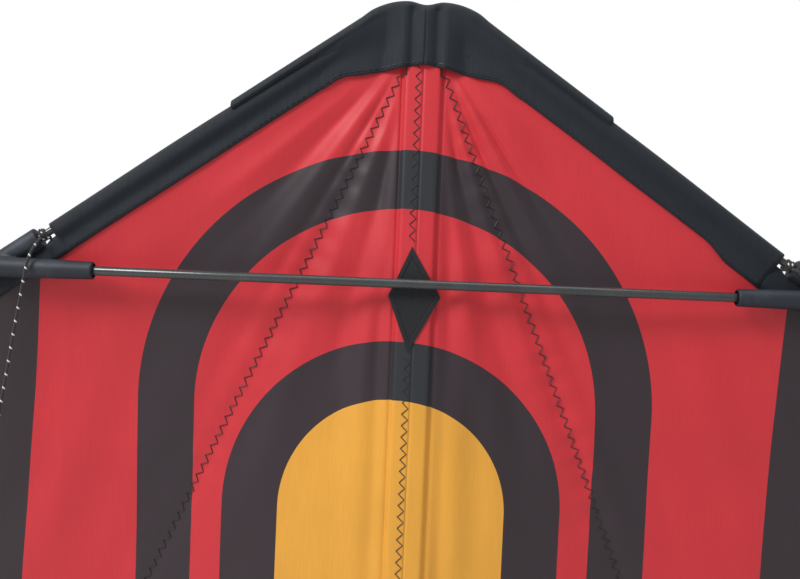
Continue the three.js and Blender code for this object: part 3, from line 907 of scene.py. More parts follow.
sails, sail_trees = {}, {}
for side in (LEFT, RIGHT):
    mirror = SIGN[side]
    rows = sail_places(side)
    verts = [Vector((mirror * x, y, z)) * MM for row in rows for x, y, z in row]
    uv = [cloth_uv(mirror * x, z) for row in rows for x, y, z in row]
    faces = grid_faces(len(rows[0]) - 1, WING_ROWS, mirror > 0)
    sail_trees[side] = BVHTree.FromPolygons(verts, faces)
    sail = mesh_piece(side + "_sail_cloth", verts, faces, SAILCLOTH, uv)
    finish_solid(sail, 0.25)
    area = flat_area(rows)
    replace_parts(sail, side + "_sail")
    blend_to_wing(sail, side)
    sails[side] = sail
    print(sail.name, "points", len(sail.data.vertices), "flat area", round(area, 3), "m2")

# %% A probe for the cloth's surface
PROBE_START_Y = -200


def first_met(tree, x, z):
    """Where a ray from the front meets a surface, in metres, or None if it misses."""
    return tree.ray_cast(Vector((x, PROBE_START_Y, z)) * MM, Vector((0, 1, 0)))[0]


def cloth_at(side, x, z, lift=0.0):
    """The point on the cloth in front of a flat place, raised `lift` mm towards the front."""
    tree = sail_trees[side]
    spot = first_met(tree, x, z) or tree.find_nearest(Vector((x * MM, 0, z * MM)))[0]
    return Vector((x, spot.y / MM - lift, z))


print("cloth at 100, -200:", [round(c, 1) for c in cloth_at(RIGHT, 100, -200)])

# %% [markdown]
# ## Spine pocket and diagonal tapes
# Behind the sail a strip of cloth is sewn on both sides of the spine, and makes the pocket
# that the rod slides in. It stops above and below the T connector. Each diagonal seam has
# an 11 mm tape behind it, which carries the pull from the nose to the standoff.

# %% Strips of cloth that follow a path
def strip_piece(name, rows, material, thickness, flip=False):
    """A band of cloth from rows of points in mm; every row has the same count."""
    verts = [Vector(p) * MM for row in rows for p in row]
    uv = [cloth_uv(p[0], p[2]) for row in rows for p in row]
    faces = grid_faces(len(rows[0]) - 1, len(rows) - 1, flip)
    return finish_solid(mesh_piece(name, verts, faces, material, uv), thickness)


POCKET_HALF, POCKET_PITCH, POCKET_COLUMNS = 10.4, 4, 24


def pocket_rows(top, bottom):
    """The pocket's back: flat flanges at the sides and a bulge over the rod."""
    rows = []
    steps = round((top - bottom) / POCKET_PITCH)
    for j in range(steps + 1):
        z = lerp(top, bottom, j / steps)
        row = []
        for i in range(POCKET_COLUMNS + 1):
            x = lerp(-POCKET_HALF, POCKET_HALF, i / POCKET_COLUMNS)
            bulge = 1 - smooth_step(2.2, 7.5, abs(x))
            ripple = 0.3 * noise.noise(Vector((x / 6, z / 22, 9)))
            row.append((x, 0.5 + 2.9 * bulge + ripple * (1 - bulge), z))
        rows.append(row)
    return rows


for name, top, bottom, node in (("upper", -22, -380, "spine_pocket_upper"),
                                ("lower", -408, -598, "spine_pocket_lower")):
    pocket = strip_piece("spine_pocket_" + name + "_cloth", pocket_rows(top, bottom), SAILCLOTH,
                         thickness=0.3)
    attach(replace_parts(pocket, node), "centre_line")
    print(pocket.name, "points", len(pocket.data.vertices))

# %% Diagonal tapes behind the seams
SEAM_END = 610
TAPE_PITCH = 2
TAPE_STEPS, TAPE_HALF = 8, 5.5


def seam_spot(side, along, across=0.0):
    """A flat place on a diagonal seam, drawn for the right-hand wing."""
    lean = SEAM_LEAN[side]
    return (SEAM_START[0] + along * math.sin(lean) + across * math.cos(lean),
            SEAM_START[1] - along * math.cos(lean) + across * math.sin(lean))


def last_on_cloth(side, limit):
    """How far along the seam the cloth still lies under it."""
    along = limit
    while along > 0:
        x, z = seam_spot(side, along)
        if first_met(sail_trees[side], SIGN[side] * x, z):
            return along
        along -= 2
    return along


seam_length = {}
for side in (LEFT, RIGHT):
    mirror = SIGN[side]
    seam_length[side] = last_on_cloth(side, SEAM_END) - 3
    rows = []
    for j in range(int(seam_length[side] / TAPE_PITCH)):
        row = []
        for k in range(TAPE_STEPS + 1):
            across = (k - TAPE_STEPS / 2) * TAPE_HALF / (TAPE_STEPS / 2)
            x, z = seam_spot(side, TAPE_PITCH * j + 4, across)
            x = max(x, 12.8 + 0.15 * across)     # keeps the tape's top clear of the crease
            row.append(cloth_at(side, mirror * x, z, -0.75))
        rows.append(row)
    tape = strip_piece(side + "_diagonal_tape", rows, EDGE_TAPE, thickness=0.25, flip=mirror > 0)
    blend_to_wing(tape, side)
    print(tape.name, "length", TAPE_PITCH * (len(rows) - 1), "mm")

# %% [markdown]
# ## Edge tape
# A wide woven tape is folded round each leading edge rod and sewn to the sail on both
# faces. It is left open where the connectors and the bridle knots sit, so it comes as
# three stretches. The pocket is looser than the rod, so its fold bows out a little.

# %% Edge tapes
SLEEVES = {"upper": (26, 235), "middle": (300, 656), "lower": (728, 838)}   # along the rod
TAPE_DEPTH = {LEFT: 14.5, RIGHT: 15.7}


def tape_depth(side, s):
    """How far in from the rod's axis the tape's inner border lies."""
    depth = TAPE_DEPTH[side] + 0.35 * noise.noise(Vector((s / 45, SIGN[side] * 2.0, 4)))
    if side == RIGHT:   # it widens towards the upper gap
        depth += 3.2 * smooth_step(196, 214, s) * (1 - smooth_step(236, 262, s))
    return depth


def fold_reach(s):
    """Radius of the tape's fold: looser between its ends."""
    return 3.3 + 0.9 * hump(s, 150, 60) + 0.5 * hump(s, 450, 120)


EDGE_PITCH, TAPE_FLAT_Y = 3.0, 0.95


def tape_section(side, s):
    """The folded tape's section at s: (inward, y) from the front border to the back one."""
    reach = fold_reach(s)
    front = []
    for i in range(9):
        t = i / 8
        inward = lerp(tape_depth(side, s), 2.2, t)
        puff = (reach - TAPE_FLAT_Y) * smooth_step(0.45, 1.0, t) ** 1.4
        wave = 0.25 * noise.noise(Vector((s / 14, inward / 8, SIGN[side] * 3.0)))
        front.append((inward, -(TAPE_FLAT_Y + puff) + wave * (1 - t)))
    turn = [(-reach * math.sin(a), -reach * math.cos(a))
            for a in (math.pi * k / 10 for k in range(1, 10))]
    rear = [(inward, -y) for inward, y in reversed(front)]
    return front + turn + rear


def on_edge(side, s, inward, y):
    """A point beside either leading edge rod, in mm."""
    x, z = edge_spot(s, inward)
    return (SIGN[side] * x, y, z)


def edge_rows(side, start, end):
    steps = round((end - start) / EDGE_PITCH)
    return [[on_edge(side, s, inward, y) for inward, y in tape_section(side, s)]
            for s in (lerp(start, end, j / steps) for j in range(steps + 1))]


def tape_width(row):
    return sum((Vector(b) - Vector(a)).length for a, b in zip(row, row[1:])) * MM


for side in (LEFT, RIGHT):
    for stretch, (start, end) in SLEEVES.items():
        rows = edge_rows(side, start, end)
        tape = strip_piece(side + "_" + stretch + "_edge_tape", rows, EDGE_TAPE,
                           thickness=0.4, flip=SIGN[side] < 0)
        round(tape_width(rows[len(rows) // 2]), 4)
        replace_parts(tape, side + "_" + stretch + "_sleeve")
        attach(tape, side + "_wing")
        print(tape.name, "length", round(end - start, 1), "mm")

# %% [markdown]
# At each gap in the tape the sail's own turned hem runs on, so the cloth is not cut. A thin
# gap of daylight shows between that hem and the bare rod.

# %% Hems across the gaps
BARREL_REACH = (-28.6, 20.6)     # the connector's barrel along the rod, from the crossing
HEM_COLUMNS, HEM_ROWS = 4, 24


def hem_rows(side, start, end, crossing):
    """The turned hem from its inner front edge to its inner back one."""
    near, far = (crossing + reach for reach in BARREL_REACH)
    rows = []
    for j in range(HEM_ROWS + 1):
        s = lerp(start, end, j / HEM_ROWS)
        beside = smooth_step(near - 5, near, s) * (1 - smooth_step(far, far + 5, s))
        outer = lerp(4.1, 5.3, beside) + 0.4 * noise.noise(Vector((s / 12, SIGN[side], 2)))
        inner = tape_depth(side, s) + 0.2
        front, back = [], []
        for k in range(HEM_COLUMNS + 1):
            t = k / HEM_COLUMNS
            inward = lerp(inner, outer, t)
            front.append(on_edge(side, s, inward, -0.75 - 0.15 * math.sin(math.pi * t)))
            back.insert(0, on_edge(side, s, inward, 0.6))
        rows.append(front + back)
    return rows


for side in (LEFT, RIGHT):
    for where, start, end, crossing in (("upper", 233, 302, UPPER_CROSSING),
                                        ("lower", 654, 730, LOWER_CROSSING)):
        rows = hem_rows(side, start, end, crossing)
        hem = strip_piece(side + "_" + where + "_gap_hem", rows, EDGE_TAPE, thickness=0.35,
                          flip=SIGN[side] < 0)
        round(tape_width(rows[HEM_ROWS // 2]), 4)
        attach(hem, side + "_wing")
        print(hem.name)

# %% [markdown]
# ## Nose cover
# Two doubled layers of tape wrap the blunt nose and hold the tops of all three rods. Its
# outline has a shallow valley between two soft shoulders, its lower border runs nearly
# straight out to the edge tapes, and upright folds cross it where it is drawn in.

# %% Nose cover
RIM_BAND = 1.2            # height of the folded rim below the bend
CREST_X, SHOULDER_X = 9.4, 27     # a shoulder's highest point, and where it runs out


def cover_top(x):
    if x < CREST_X:
        return -0.8 + 1.7 * math.sin(math.pi / 2 * x / CREST_X) ** 2
    cap = 0.9 - 0.0148 * (x - CREST_X) ** 2
    line = APEX_Z + 7.4 - x * math.tan(SWEEP)
    return cap if x < SHOULDER_X else lerp(cap, line, smooth_step(SHOULDER_X, SHOULDER_X + 7, x))


def cover_border(side, x):
    arc = -32.7 - 0.195 * math.hypot(x, 3)
    s = (x + TAPE_DEPTH[side] * math.sin(SWEEP)) / math.cos(SWEEP)
    tape = APEX_Z - x * math.tan(SWEEP) - (tape_depth(side, s) + 0.5) / math.cos(SWEEP)
    gap = arc - tape
    return lerp(arc, tape, smooth_step(-5, 5, gap))


def cover_rows(side):
    """The cover's rows from the spine outwards, each from the front border to the back one.

    Its rim is folded over as a narrow band. Outboard, the front layer under the band slips
    behind the edge tape, and the rows turn square to the rod.
    """
    columns = [1.2 * i for i in range(26)] + [31.2 + 2.1 * i for i in range(34)]
    span = TAPE_DEPTH[side] + 2.2
    rows = []
    for x in columns:
        top, low = cover_top(x), cover_border(side, x)
        centre = 1 - smooth_step(11, 22, x)
        outboard = smooth_step(44, 76, x)
        reach = lerp(5.0, 4.9, centre)
        rim_z = top - 0.8 * reach
        front = []
        for i in range(23):
            t = i / 22
            z = lerp(low, rim_z, t)
            band = smooth_step(RIM_BAND + 0.7, RIM_BAND, rim_z - z) * smooth_step(12, 30, x)
            y = lerp(1.35 + 3.1 * smooth_step(0.3, 0.95, t) ** 1.2, 4.7, centre)
            y += centre * (0.9 * hump(x, 0, 3.4) - 1.5 * hump(x, 6.6, 2.2)
                           + 0.5 * hump(x, 11, 2.4))
            y -= (1 - centre) * 0.7 * hump(x, 17 + 6 * (1 - t), 3.5) * (1 - t)
            wave = noise.noise(Vector((x / 16, z / 40, SIGN[side] * 1.2)))
            y += 0.5 * wave * smooth_step(0, 0.3, t)
            tucked = 0.35 + 2.5 * smooth_step(0.45, 1.0, t) ** 1.4
            y = lerp(y, tucked, outboard * (1 - band))
            y = lerp(y, reach, band)
            across = outboard * span * (1 - t)
            front.append((x - across * math.sin(SWEEP),
                          lerp(z, rim_z - span * (1 - t) * math.cos(SWEEP), outboard), -y))
        turn = [(x, rim_z + 0.8 * reach * math.sin(a), -reach * math.cos(a))
                for a in (math.pi * k / 8 for k in range(1, 8))]
        rear = [(px, pz, min(-py, 5.2)) for px, pz, py in reversed(front)]
        rows.append([(SIGN[side] * px, py, pz) for px, pz, py in front + turn + rear])
    return rows


for side in (LEFT, RIGHT):
    rows = cover_rows(side)
    cover = strip_piece(side + "_nose_cover_tape", rows, EDGE_TAPE, thickness=0.45,
                        flip=SIGN[side] < 0)
    nodes = [side + "_nose_cover"] + (["nose_cover_centre"] if side == LEFT else [])
    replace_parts(cover, *nodes)
    blend_to_wing(cover, side)
    print(cover.name, "points", len(cover.data.vertices))

# %% [markdown]
# ## Rods
# Every rod is pultruded carbon, cut square with a slightly broken edge, and slides into a
# socket or pocket. One helper adds a cylinder at its size and place, bevels its two rims
# and fixes the place in the mesh, as each finished piece needs.

# %% Helpers for modelled pieces
def start_piece(name, material):
    """Names the primitive that was just added and gives it its material."""
    piece = bpy.context.object
    piece.name = name
    piece.data.name = name
    piece.data.materials.clear()
    piece.data.materials.append(material)
    return piece


ROUND_SIDES, MOULD_SIDES, SMALL_SIDES = 40, 48, 32


def cylinder_between(name, start, end, radius, material, sides=ROUND_SIDES):
    """A cylinder between two points in mm, its place already in its mesh."""
    a, b = Vector(start) * MM, Vector(end) * MM
    deselect()
    bpy.ops.mesh.primitive_cylinder_add(vertices=sides, radius=radius * MM, depth=(b - a).length,
                                        location=(a + b) / 2,
                                        rotation=(b - a).to_track_quat("Z", "Y").to_euler())
    piece = start_piece(name, material)
    bpy.ops.object.transform_apply(location=True, rotation=True, scale=True)
    return piece


def smooth_by_angle(piece, degrees):
    activate(piece)
    bpy.ops.object.shade_smooth_by_angle(angle=math.radians(degrees))
    return piece


def soften(piece, width, degrees=40):
    """Bevels the sharp rims and smooths the rest."""
    apply_modifier(piece, "BEVEL", width=width * MM, segments=2, limit_method="ANGLE",
                   angle_limit=math.radians(degrees))
    return smooth_by_angle(piece, degrees)


def combine(piece, other, operation):
    """Joins another closed piece to this one, or cuts it out."""
    apply_modifier(piece, "BOOLEAN", operation=operation, solver="EXACT", object=other)
    bpy.data.objects.remove(other)
    return piece


def fuse(piece, start, end, radius, sides=MOULD_SIDES):
    """Adds a round bar between two points in mm."""
    return combine(piece, cylinder_between("bar", start, end, radius, RUBBER, sides), "UNION")


def bore(piece, start, end, radius, sides=ROUND_SIDES):
    """Cuts a round hole between two points in mm."""
    return combine(piece, cylinder_between("hole", start, end, radius, RUBBER, sides),
                   "DIFFERENCE")


def rod(name, start, end, radius, node, body):
    piece = soften(cylinder_between(name, start, end, radius, CARBON), width=0.25)
    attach(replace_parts(piece, node), body)
    print(name, "length", round((Vector(end) - Vector(start)).length), "mm")
    return piece


# %% Rods
ARM_LENGTH, SOCKET_DEPTH, MOUTH_GAP = 55, 26, 0.5
SPINE_R, SPREADER_R, EDGE_ROD_R, STANDOFF_R = 2.5, 2.5, 2, 1.5
rod("spine_rod", (0, 0, -8), (0, 0, -614), SPINE_R, "spine_spar", "centre_line")
upper_x, upper_z = edge_spot(UPPER_CROSSING)
lower_x, lower_z = edge_spot(LOWER_CROSSING)
rod("upper_spreader_rod", (-(upper_x - SOCKET_DEPTH - MOUTH_GAP), SPREADER_Y, upper_z),
    (upper_x - ARM_LENGTH - MOUTH_GAP, SPREADER_Y, upper_z), SPREADER_R, "upper_spreader",
    "left_wing")
STANDOFF_FOOT = Vector((STANDOFF_X, SPREADER_Y, lower_z))
STANDOFF_HEAD = Vector((STANDOFF_X, 33.5, -524))
STANDOFF_LENGTH = (STANDOFF_HEAD - STANDOFF_FOOT).length


def standoff_spot(mirror, reach):
    """A point on a standoff's axis, `reach` mm from the lower spreader's axis."""
    spot = STANDOFF_FOOT + reach * (STANDOFF_HEAD - STANDOFF_FOOT).normalized()
    return (mirror * spot.x, spot.y, spot.z)


for side in (LEFT, RIGHT):
    mirror, wing = SIGN[side], side + "_wing"
    (x0, z0), (x1, z1) = edge_spot(17), edge_spot(846)
    rod(side + "_leading_edge_rod", (mirror * x0, 0, z0), (mirror * x1, 0, z1),
        EDGE_ROD_R, side + "_leading_edge_spar", wing)
    rod(side + "_lower_spreader_rod", (mirror * 13.5, SPREADER_Y, lower_z),
        (mirror * (lower_x - SOCKET_DEPTH - MOUTH_GAP), SPREADER_Y, lower_z), SPREADER_R,
        side + "_lower_spreader", wing)
    rod(side + "_standoff_rod", standoff_spot(mirror, 7.4),
        standoff_spot(mirror, STANDOFF_LENGTH - 3), STANDOFF_R, side + "_standoff", wing)

# %% [markdown]
# ## Moulded connectors
# A leading edge connector is one rubber moulding: a barrel on the edge rod and an arm with
# a socket, blended into each other. Cylinders give the barrel, neck and arm, and the arm's
# root is widened by scaling its end loop. They are joined, remeshed finely and smoothed,
# which rounds the inside corners as a mould does, and the bores are cut last so that they
# stay crisp. One connector is made, and the other three are copies of it.

# %% Connector
def blended(piece, voxel, rounds):
    """Remeshes and smooths a moulding so that its parts run into each other."""
    apply_modifier(piece, "REMESH", mode="VOXEL", voxel_size=voxel * MM)
    return apply_modifier(piece, "SMOOTH", factor=0.5, iterations=rounds)


def widen_end(piece, beyond_x, factor, centre):
    """Scales the end loop of a cylinder that lies along X, past a given x in mm."""
    bpy.context.view_layer.objects.active = piece
    bpy.ops.object.mode_set(mode="EDIT")
    bpy.ops.mesh.select_all(action="DESELECT")
    mesh = bmesh.from_edit_mesh(piece.data)
    for vert in mesh.verts:
        vert.select = vert.co.x > beyond_x * MM
    mesh.select_flush(True)
    bmesh.update_edit_mesh(piece.data)
    bpy.ops.transform.resize(value=(1, factor, factor), center_override=Vector(centre) * MM)
    bpy.ops.object.mode_set(mode="OBJECT")


BARREL_R, NECK_R, ARM_R = 5.9, 5.4, 4.7
SPREADER_BORE_R, EDGE_BORE_R = 2.8, 2.35
CRISP_ANGLE = 50         # degrees; edges sharper than this stay crisp


def make_connector():
    """The connector of the right-hand upper crossing, drawn about the crossing itself."""
    along = Vector((math.cos(SWEEP), 0, -math.sin(SWEEP)))
    beyond_mouth = (-ARM_LENGTH - 5, SPREADER_Y, 0)
    body = cylinder_between("connector_body", BARREL_REACH[0] * along, BARREL_REACH[1] * along,
                            BARREL_R, RUBBER, MOULD_SIDES)
    fuse(body, (0, 0, 0), (0, SPREADER_Y, 0), NECK_R)
    arm = cylinder_between("arm", (-ARM_LENGTH - 0.5, SPREADER_Y, 0), (3, SPREADER_Y, 0), ARM_R,
                           RUBBER, MOULD_SIDES)
    widen_end(arm, beyond_x=0, factor=1.2, centre=(3, SPREADER_Y, 0))
    combine(body, arm, "UNION")
    blended(body, voxel=0.55, rounds=7)
    bore(body, -40 * along, 40 * along, EDGE_BORE_R)
    bore(body, beyond_mouth, (-SOCKET_DEPTH, SPREADER_Y, 0), SPREADER_BORE_R)
    bore(body, beyond_mouth, (-ARM_LENGTH + 1.1, SPREADER_Y, 0), 3.6)
    return smooth_by_angle(body, CRISP_ANGLE)


pattern = make_connector()
print("connector faces", len(pattern.data.polygons))

# %% Connector copies
def placed_copy(source, name, matrix, mirrored):
    """A copy with its own mesh, moved by a matrix, and turned right side out if mirrored."""
    made = bpy.data.objects.new(name, source.data.copy())
    scene.collection.objects.link(made)
    made.data.transform(matrix)
    if mirrored:
        made.data.flip_normals()
    return made


for side in (LEFT, RIGHT):
    for where, (x, z) in (("upper", (upper_x, upper_z)), ("lower", (lower_x, lower_z))):
        matrix = (Matrix.Scale(SIGN[side], 4, (1, 0, 0))
                  @ Matrix.Translation(Vector((x, 0, z)) * MM))
        piece = placed_copy(pattern, side + "_" + where + "_connector_moulding", matrix,
                            side == LEFT)
        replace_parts(piece, side + "_" + where + "_connector")
        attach(piece, side + "_wing")
        print(piece.name)
bpy.data.objects.remove(pattern)

# %% [markdown]
# ## T connector, end caps and standoff clips
# The T on the spine takes both lower spreaders. Each rod tip that would wear the cloth has
# a rubber cap, made from a cylinder whose outer end is drawn in twice. A standoff's clip
# snaps on the lower spreader, and its cap rests against the cloth.

# %% T connector and tail cap
def make_tee():
    tee = cylinder_between("centre_tee_moulding", (0, 0, lower_z - 12.5), (0, 0, lower_z + 12.5),
                           BARREL_R, RUBBER, MOULD_SIDES)
    fuse(tee, (0, 0, lower_z), (0, SPREADER_Y, lower_z), NECK_R)
    fuse(tee, (-13.5, SPREADER_Y, lower_z), (13.5, SPREADER_Y, lower_z), 5.6)
    blended(tee, voxel=0.5, rounds=6)
    bore(tee, (0, 0, lower_z - 20), (0, 0, lower_z + 20), 2.85)
    for mirror in (-1, 1):
        bore(tee, (mirror * 3, SPREADER_Y, lower_z), (mirror * 20, SPREADER_Y, lower_z),
             SPREADER_BORE_R)
    return smooth_by_angle(tee, CRISP_ANGLE)


def outermost_face(mesh, along):
    return max(mesh.faces, key=lambda face: face.calc_center_median().dot(along))


def make_cap(name, mouth, tip, radius, hole_radius):
    """A rubber end cap from its open mouth to its rounded tip, with a blind bore."""
    mouth, tip = Vector(mouth), Vector(tip)
    along = (tip - mouth).normalized()
    cap = cylinder_between(name, mouth, tip - 0.25 * radius * along, radius, RUBBER)
    bpy.ops.object.mode_set(mode="EDIT")
    for reach, factor in ((0.25, 0.82), (0.15, 0.55)):
        bpy.ops.mesh.select_all(action="DESELECT")
        mesh = bmesh.from_edit_mesh(cap.data)
        outermost_face(mesh, along).select = True
        bmesh.update_edit_mesh(cap.data)
        bpy.ops.mesh.extrude_region_move(
            TRANSFORM_OT_translate={"value": reach * radius * along * MM})
        mesh = bmesh.from_edit_mesh(cap.data)
        centre = outermost_face(mesh, along).calc_center_median()
        bpy.ops.transform.resize(value=(factor,) * 3, center_override=centre)
    bpy.ops.object.mode_set(mode="OBJECT")
    bore(cap, mouth - 3 * along, tip - 0.35 * (tip - mouth), hole_radius, SMALL_SIDES)
    return soften(cap, width=0.35, degrees=CRISP_ANGLE)


tee = make_tee()
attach(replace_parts(tee, "centre_tee"), "centre_line")
tail_cap = make_cap("tail_cap_rubber", (0, 0, -601), (0, 0, -621.8), 4.2, 2.8)
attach(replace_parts(tail_cap, "spine_tail_cap"), "centre_line")
print("tee faces", len(tee.data.polygons))

# %% Tip caps, standoff clips and standoff caps
for side in (LEFT, RIGHT):
    mirror, wing = SIGN[side], side + "_wing"
    (x0, z0), (x1, z1) = edge_spot(840), edge_spot(860)
    cap = make_cap(side + "_tip_cap_rubber", (mirror * x0, 0, z0), (mirror * x1, 0, z1),
                   4.2, 2.3)
    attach(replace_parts(cap, side + "_tip_cap"), wing)

    def on_spreader(step):
        return (mirror * (STANDOFF_X + step), SPREADER_Y, lower_z)

    clip = cylinder_between(side + "_standoff_clip_rubber", on_spreader(-6), on_spreader(6), 5.2,
                            RUBBER, MOULD_SIDES)
    fuse(clip, standoff_spot(mirror, 2.9), standoff_spot(mirror, 18), 3.6, ROUND_SIDES)
    blended(clip, voxel=0.4, rounds=5)
    bore(clip, on_spreader(-9), on_spreader(9), SPREADER_BORE_R)
    bore(clip, standoff_spot(mirror, 7), standoff_spot(mirror, 20), 1.8, SMALL_SIDES)
    smooth_by_angle(clip, CRISP_ANGLE)
    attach(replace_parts(clip, side + "_standoff_clip"), wing)
    head = make_cap(side + "_standoff_cap_rubber", standoff_spot(mirror, STANDOFF_LENGTH - 10),
                    standoff_spot(mirror, STANDOFF_LENGTH), 3.0, 1.8)
    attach(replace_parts(head, side + "_standoff_cap"), wing)
    print(cap.name, clip.name, head.name)

# %% [markdown]
# ## Knots on the rods
# Each bridle leg starts with two tight turns of its cord round a rod and one turn that
# crosses and locks them. The cord is swept along a helix, so the turns lie side by side.

# %% Wound knots
KNOT_CORD_R = 0.6        # pulled tight, the cord is thinner than where it hangs
KNOT_TURNS, KNOT_PITCH, TURN_STEPS = 2, 1.35, 18


def wound_knot(name, centre, axis, rod_radius):
    """Turns of cord round a rod, then a crossing turn that locks them."""
    axis = Vector(axis).normalized()
    out = axis.orthogonal().normalized()
    up = axis.cross(out)
    centre = Vector(centre)
    reach = rod_radius + KNOT_CORD_R + 0.1
    line = []

    def add_point(i, run, lift):
        a = 2 * math.pi * i / TURN_STEPS
        line.append(centre + axis * run + lift * (math.cos(a) * out + math.sin(a) * up))

    total = KNOT_TURNS * TURN_STEPS
    for i in range(total + 1):
        add_point(i, (i / total - 0.5) * KNOT_TURNS * KNOT_PITCH, reach)
    for i in range(1, TURN_STEPS + 1):
        add_point(i, KNOT_TURNS * KNOT_PITCH * 0.5 * math.cos(math.pi * i / TURN_STEPS),
                  reach + 1.3 * KNOT_CORD_R * smooth_step(0, 6, i))
    return tube(name, line, KNOT_CORD_R, CORD, sides=8)


for side in (LEFT, RIGHT):
    mirror, wing = SIGN[side], side + "_wing"
    edge_axis = (mirror * math.cos(SWEEP), 0, -math.sin(SWEEP))
    for where, s in (("upper", 240.4), ("outer", 662)):
        x, z = edge_spot(s)
        knot = wound_knot(side + "_" + where + "_knot_turns", (mirror * x, 0, z), edge_axis,
                          EDGE_ROD_R)
        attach(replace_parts(knot, side + "_" + where + "_bridle_knot"), wing)
    knot = wound_knot(side + "_inner_knot_turns", (mirror * 20, SPREADER_Y, lower_z), (1, 0, 0),
                      SPREADER_R)
    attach(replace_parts(knot, side + "_inner_bridle_knot"), wing)
print("knots on rods", 6)

# %% [markdown]
# ## Rub patch
# The upper spreader would wear the cloth where it crosses the spine, so a small diamond of
# doubled tape is sewn there. Its border is turned under, which shows as a narrow raised
# frame round a flatter middle.

# %% Diamond patch
PATCH_TOP, PATCH_LOW, PATCH_WIDE_Z, PATCH_HALF = -128.8, -184.5, -155.0, 13.8
PATCH_Y, PATCH_SKEW = -4.15, -0.16       # its tips sit a little to the left


def make_patch():
    deselect()
    bpy.ops.mesh.primitive_circle_add(vertices=4, radius=1, fill_type="NGON",
                                      rotation=(math.pi / 2, 0, 0))
    patch = start_piece("spreader_rub_patch", PATCH_TAPE)
    bpy.ops.object.transform_apply(location=True, rotation=True, scale=True)
    for vert in patch.data.vertices:
        tip = PATCH_TOP if vert.co.z > 0.5 else PATCH_LOW if vert.co.z < -0.5 else PATCH_WIDE_Z
        share = 1 if vert.co.x > 0.5 else -1 if vert.co.x < -0.5 else PATCH_SKEW
        vert.co = Vector((PATCH_HALF * share, PATCH_Y, tip)) * MM
    bpy.ops.object.mode_set(mode="EDIT")
    bpy.ops.mesh.select_all(action="SELECT")
    bpy.ops.mesh.inset(thickness=2.2 * MM, depth=0)
    bpy.ops.mesh.inset(thickness=0.45 * MM, depth=-0.32 * MM)
    bpy.ops.mesh.inset(thickness=0.6 * MM, depth=0.1 * MM)
    bpy.ops.object.mode_set(mode="OBJECT")
    return patch


patch = make_patch()
front_up = sum(f.normal.y * f.area for f in patch.data.polygons) < 0
if not front_up:
    patch.data.flip_normals()
layer = patch.data.uv_layers.get("UVMap") or patch.data.uv_layers.new(name="UVMap")
for loop in patch.data.loops:
    co = patch.data.vertices[loop.vertex_index].co
    layer.data[loop.index].uv = cloth_uv(co.x / MM, co.z / MM)
finish_solid(patch, 0.5, -1.0)
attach(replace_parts(patch, "spreader_patch"), "centre_line")
print(patch.name, "faces", len(patch.data.polygons))

# %% [markdown]
# ## Trailing edge
# The sail's free edge is bound with a narrow folded tape, so that it doesn't flutter itself
# to rags. It follows the last rows of the cloth's own grid, in front and behind.

# %% Trailing edge binding
for side in (LEFT, RIGHT):
    rows = sail_places(side)
    high, middle, low = rows[-3], rows[-2], rows[-1]
    section = []
    for a, b, c in zip(high, middle, low):
        fold = (c[0], c[1], c[2] - 0.8)
        line = [(a, -0.4), (b, -0.4), (c, -0.42), (fold, 0.0), (c, 0.42), (b, 0.4), (a, 0.4)]
        section.append([(SIGN[side] * p[0], p[1] + lift, p[2]) for p, lift in line])
    binding = strip_piece(side + "_trailing_binding", section, EDGE_TAPE, thickness=0.25,
                          flip=SIGN[side] < 0)
    run = sum((Vector(b) - Vector(a)).length for a, b in zip(low, low[1:])) * MM
    width = round(tape_width(section[len(section) // 2]), 4)
    print("binding width", width)
    blend_to_wing(binding, side)
    print(binding.name, "length", round(run, 3), "m")

# %% [markdown]
# ## Sewing
# A zigzag stitch stretches with the cloth where a straight one would snap, so the spine
# strip and the diagonal seams are sewn with it. The thread is real geometry here: a thin
# square tube that goes from side to side, pressed on to the cloth. Short running stitches
# hold the tapes, and short tacks lock the corners of the nose cover.

# %% Thread helpers
STITCH_STEP = 3.0        # along the seam, from one corner of the zigzag to the next
STITCH_HALF = 1.6
THREAD_R = 0.28


def thread_run(points):
    """A thin square tube along points in mm, as loose points and faces."""
    rings = sweep_rings([Vector(p) * MM for p in points], THREAD_R * MM, 4)
    verts = [v for ring in rings for v in ring]
    faces = []
    for i in range(len(rings) - 1):
        for k in range(4):
            a, b = i * 4 + k, i * 4 + (k + 1) % 4
            faces.append((a, b, b + 4, a + 4))
    last = 4 * (len(rings) - 1)
    faces += [(3, 2, 1, 0), (last, last + 1, last + 2, last + 3)]
    return verts, faces


def thread_piece(name, runs, material=THREAD):
    """One piece from several runs of thread."""
    verts, faces = [], []
    for run in runs:
        more, theirs = thread_run(run)
        faces += [tuple(i + len(verts) for i in face) for face in theirs]
        verts += more
    piece = mesh_piece(name, verts, faces, material, smooth=False)
    return piece


def zigzag(spot, start, end):
    """Corners of a zigzag, with a point halfway; spot(along, across) lies on the cloth."""
    points = []
    for k in range(int((end - start) / STITCH_STEP) + 1):
        along = start + k * STITCH_STEP
        side = STITCH_HALF if k % 2 else -STITCH_HALF
        uneven = 0.2 * noise.noise(Vector((along / 5, side, 2)))
        points.append(spot(along, side + uneven))
        points.append(spot(along + STITCH_STEP / 2, 0))
    return points[:-1]


print("thread radius", THREAD_R, "mm")

# %% Zigzag seams
ZIGZAG_X = -2.5


def on_strip(along, across):
    return cloth_at(LEFT, min(-0.05, ZIGZAG_X + across), -along, 0.3)


centre_seam = thread_piece("centre_zigzag", [zigzag(on_strip, 33, 127),
                                             zigzag(on_strip, 187, 603)])
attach(centre_seam, "centre_line")


def on_seam(side, lift):
    def spot(along, across):
        x, z = seam_spot(side, along, across)
        return cloth_at(side, SIGN[side] * x, z, lift)
    return spot


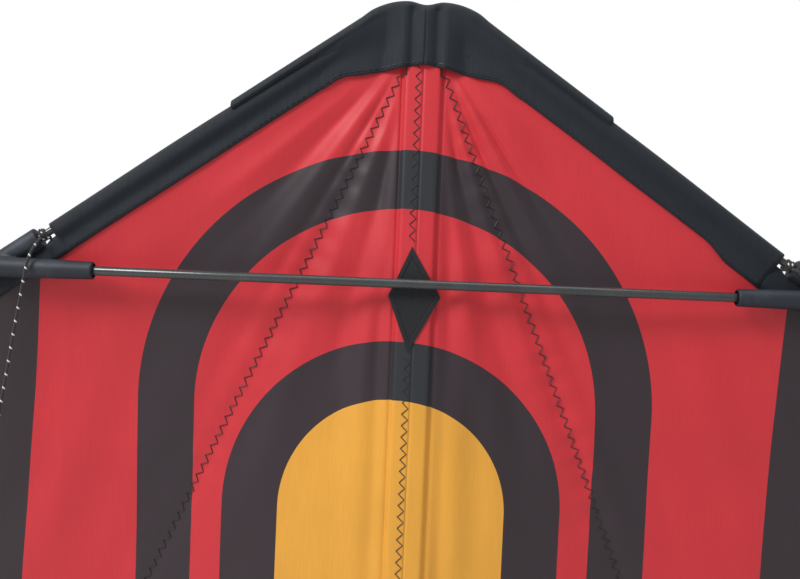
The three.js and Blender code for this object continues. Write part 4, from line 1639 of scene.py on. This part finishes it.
for side in (LEFT, RIGHT):
    runs = [zigzag(on_seam(side, 0.42), 6, seam_length[side]),
            zigzag(on_seam(side, -1.08), 12, seam_length[side])]
    seam = thread_piece(side + "_diagonal_zigzag", runs)
    blend_to_wing(seam, side)
    print(seam.name, "faces", len(seam.data.polygons))

# %% Running stitches along the edge tapes
DASH_PITCH = 3.4

for side in (LEFT, RIGHT):
    dashes = []
    for start, end in SLEEVES.values():
        s = start + 4
        while s < end - 4:
            for face in (-1, 1):
                dashes.append([on_edge(side, a, tape_depth(side, a) - 2.0, face * 1.32)
                               for a in (s, s + 1.1, s + 2.2)])
            s += DASH_PITCH
    stitches = thread_piece(side + "_tape_stitches", dashes, TAPE_THREAD)
    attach(stitches, side + "_wing")
    print(stitches.name, "dashes", len(dashes))

# %% Stitches and tacks of the nose cover
cover_trees = {}
for side in (LEFT, RIGHT):
    mesh = bpy.data.objects[side + "_nose_cover_tape"].data
    cover_trees[side] = BVHTree.FromPolygons([v.co for v in mesh.vertices],
                                             [tuple(f.vertices) for f in mesh.polygons])


def on_cover(side, x, z, lift=0.2):
    spot = first_met(cover_trees[side], x, z)
    return spot and Vector((x, spot.y / MM - lift, z))


for side in (LEFT, RIGHT):
    mirror, runs = SIGN[side], []
    x = 1.5
    while x < 98:
        dash = [on_cover(side, mirror * (x + step), cover_border(side, x + step) + 2.2)
                for step in (0, 1.0, 2.0)]
        if None not in dash:
            runs.append(dash)
        x += 3.2
    for k in range(6):
        z = cover_border(side, 9) - 0.3 - 0.7 * k
        runs.append([cloth_at(side, mirror * a, z - b, 0.35)
                     for a, b in ((8.7, 0), (9.2, 0.2), (9.7, 0))])
    tacks = thread_piece(side + "_nose_stitches", runs, TAPE_THREAD)
    blend_to_wing(tacks, side)
    print(tacks.name, "runs", len(runs))

# %% [markdown]
# ## Sizes
# The pieces' box is printed beside the measured frame's own box, so that the two can be
# compared. The cloth may stand a little proud of the frame, and no more.

# %% Sizes
low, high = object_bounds()
{"cad": [list(cad_low), list(cad_high)], "visual": [list(low), list(high)]}
print("cad", [round(c, 4) for c in cad_high - cad_low],
      "visual", [round(c, 4) for c in high - low])
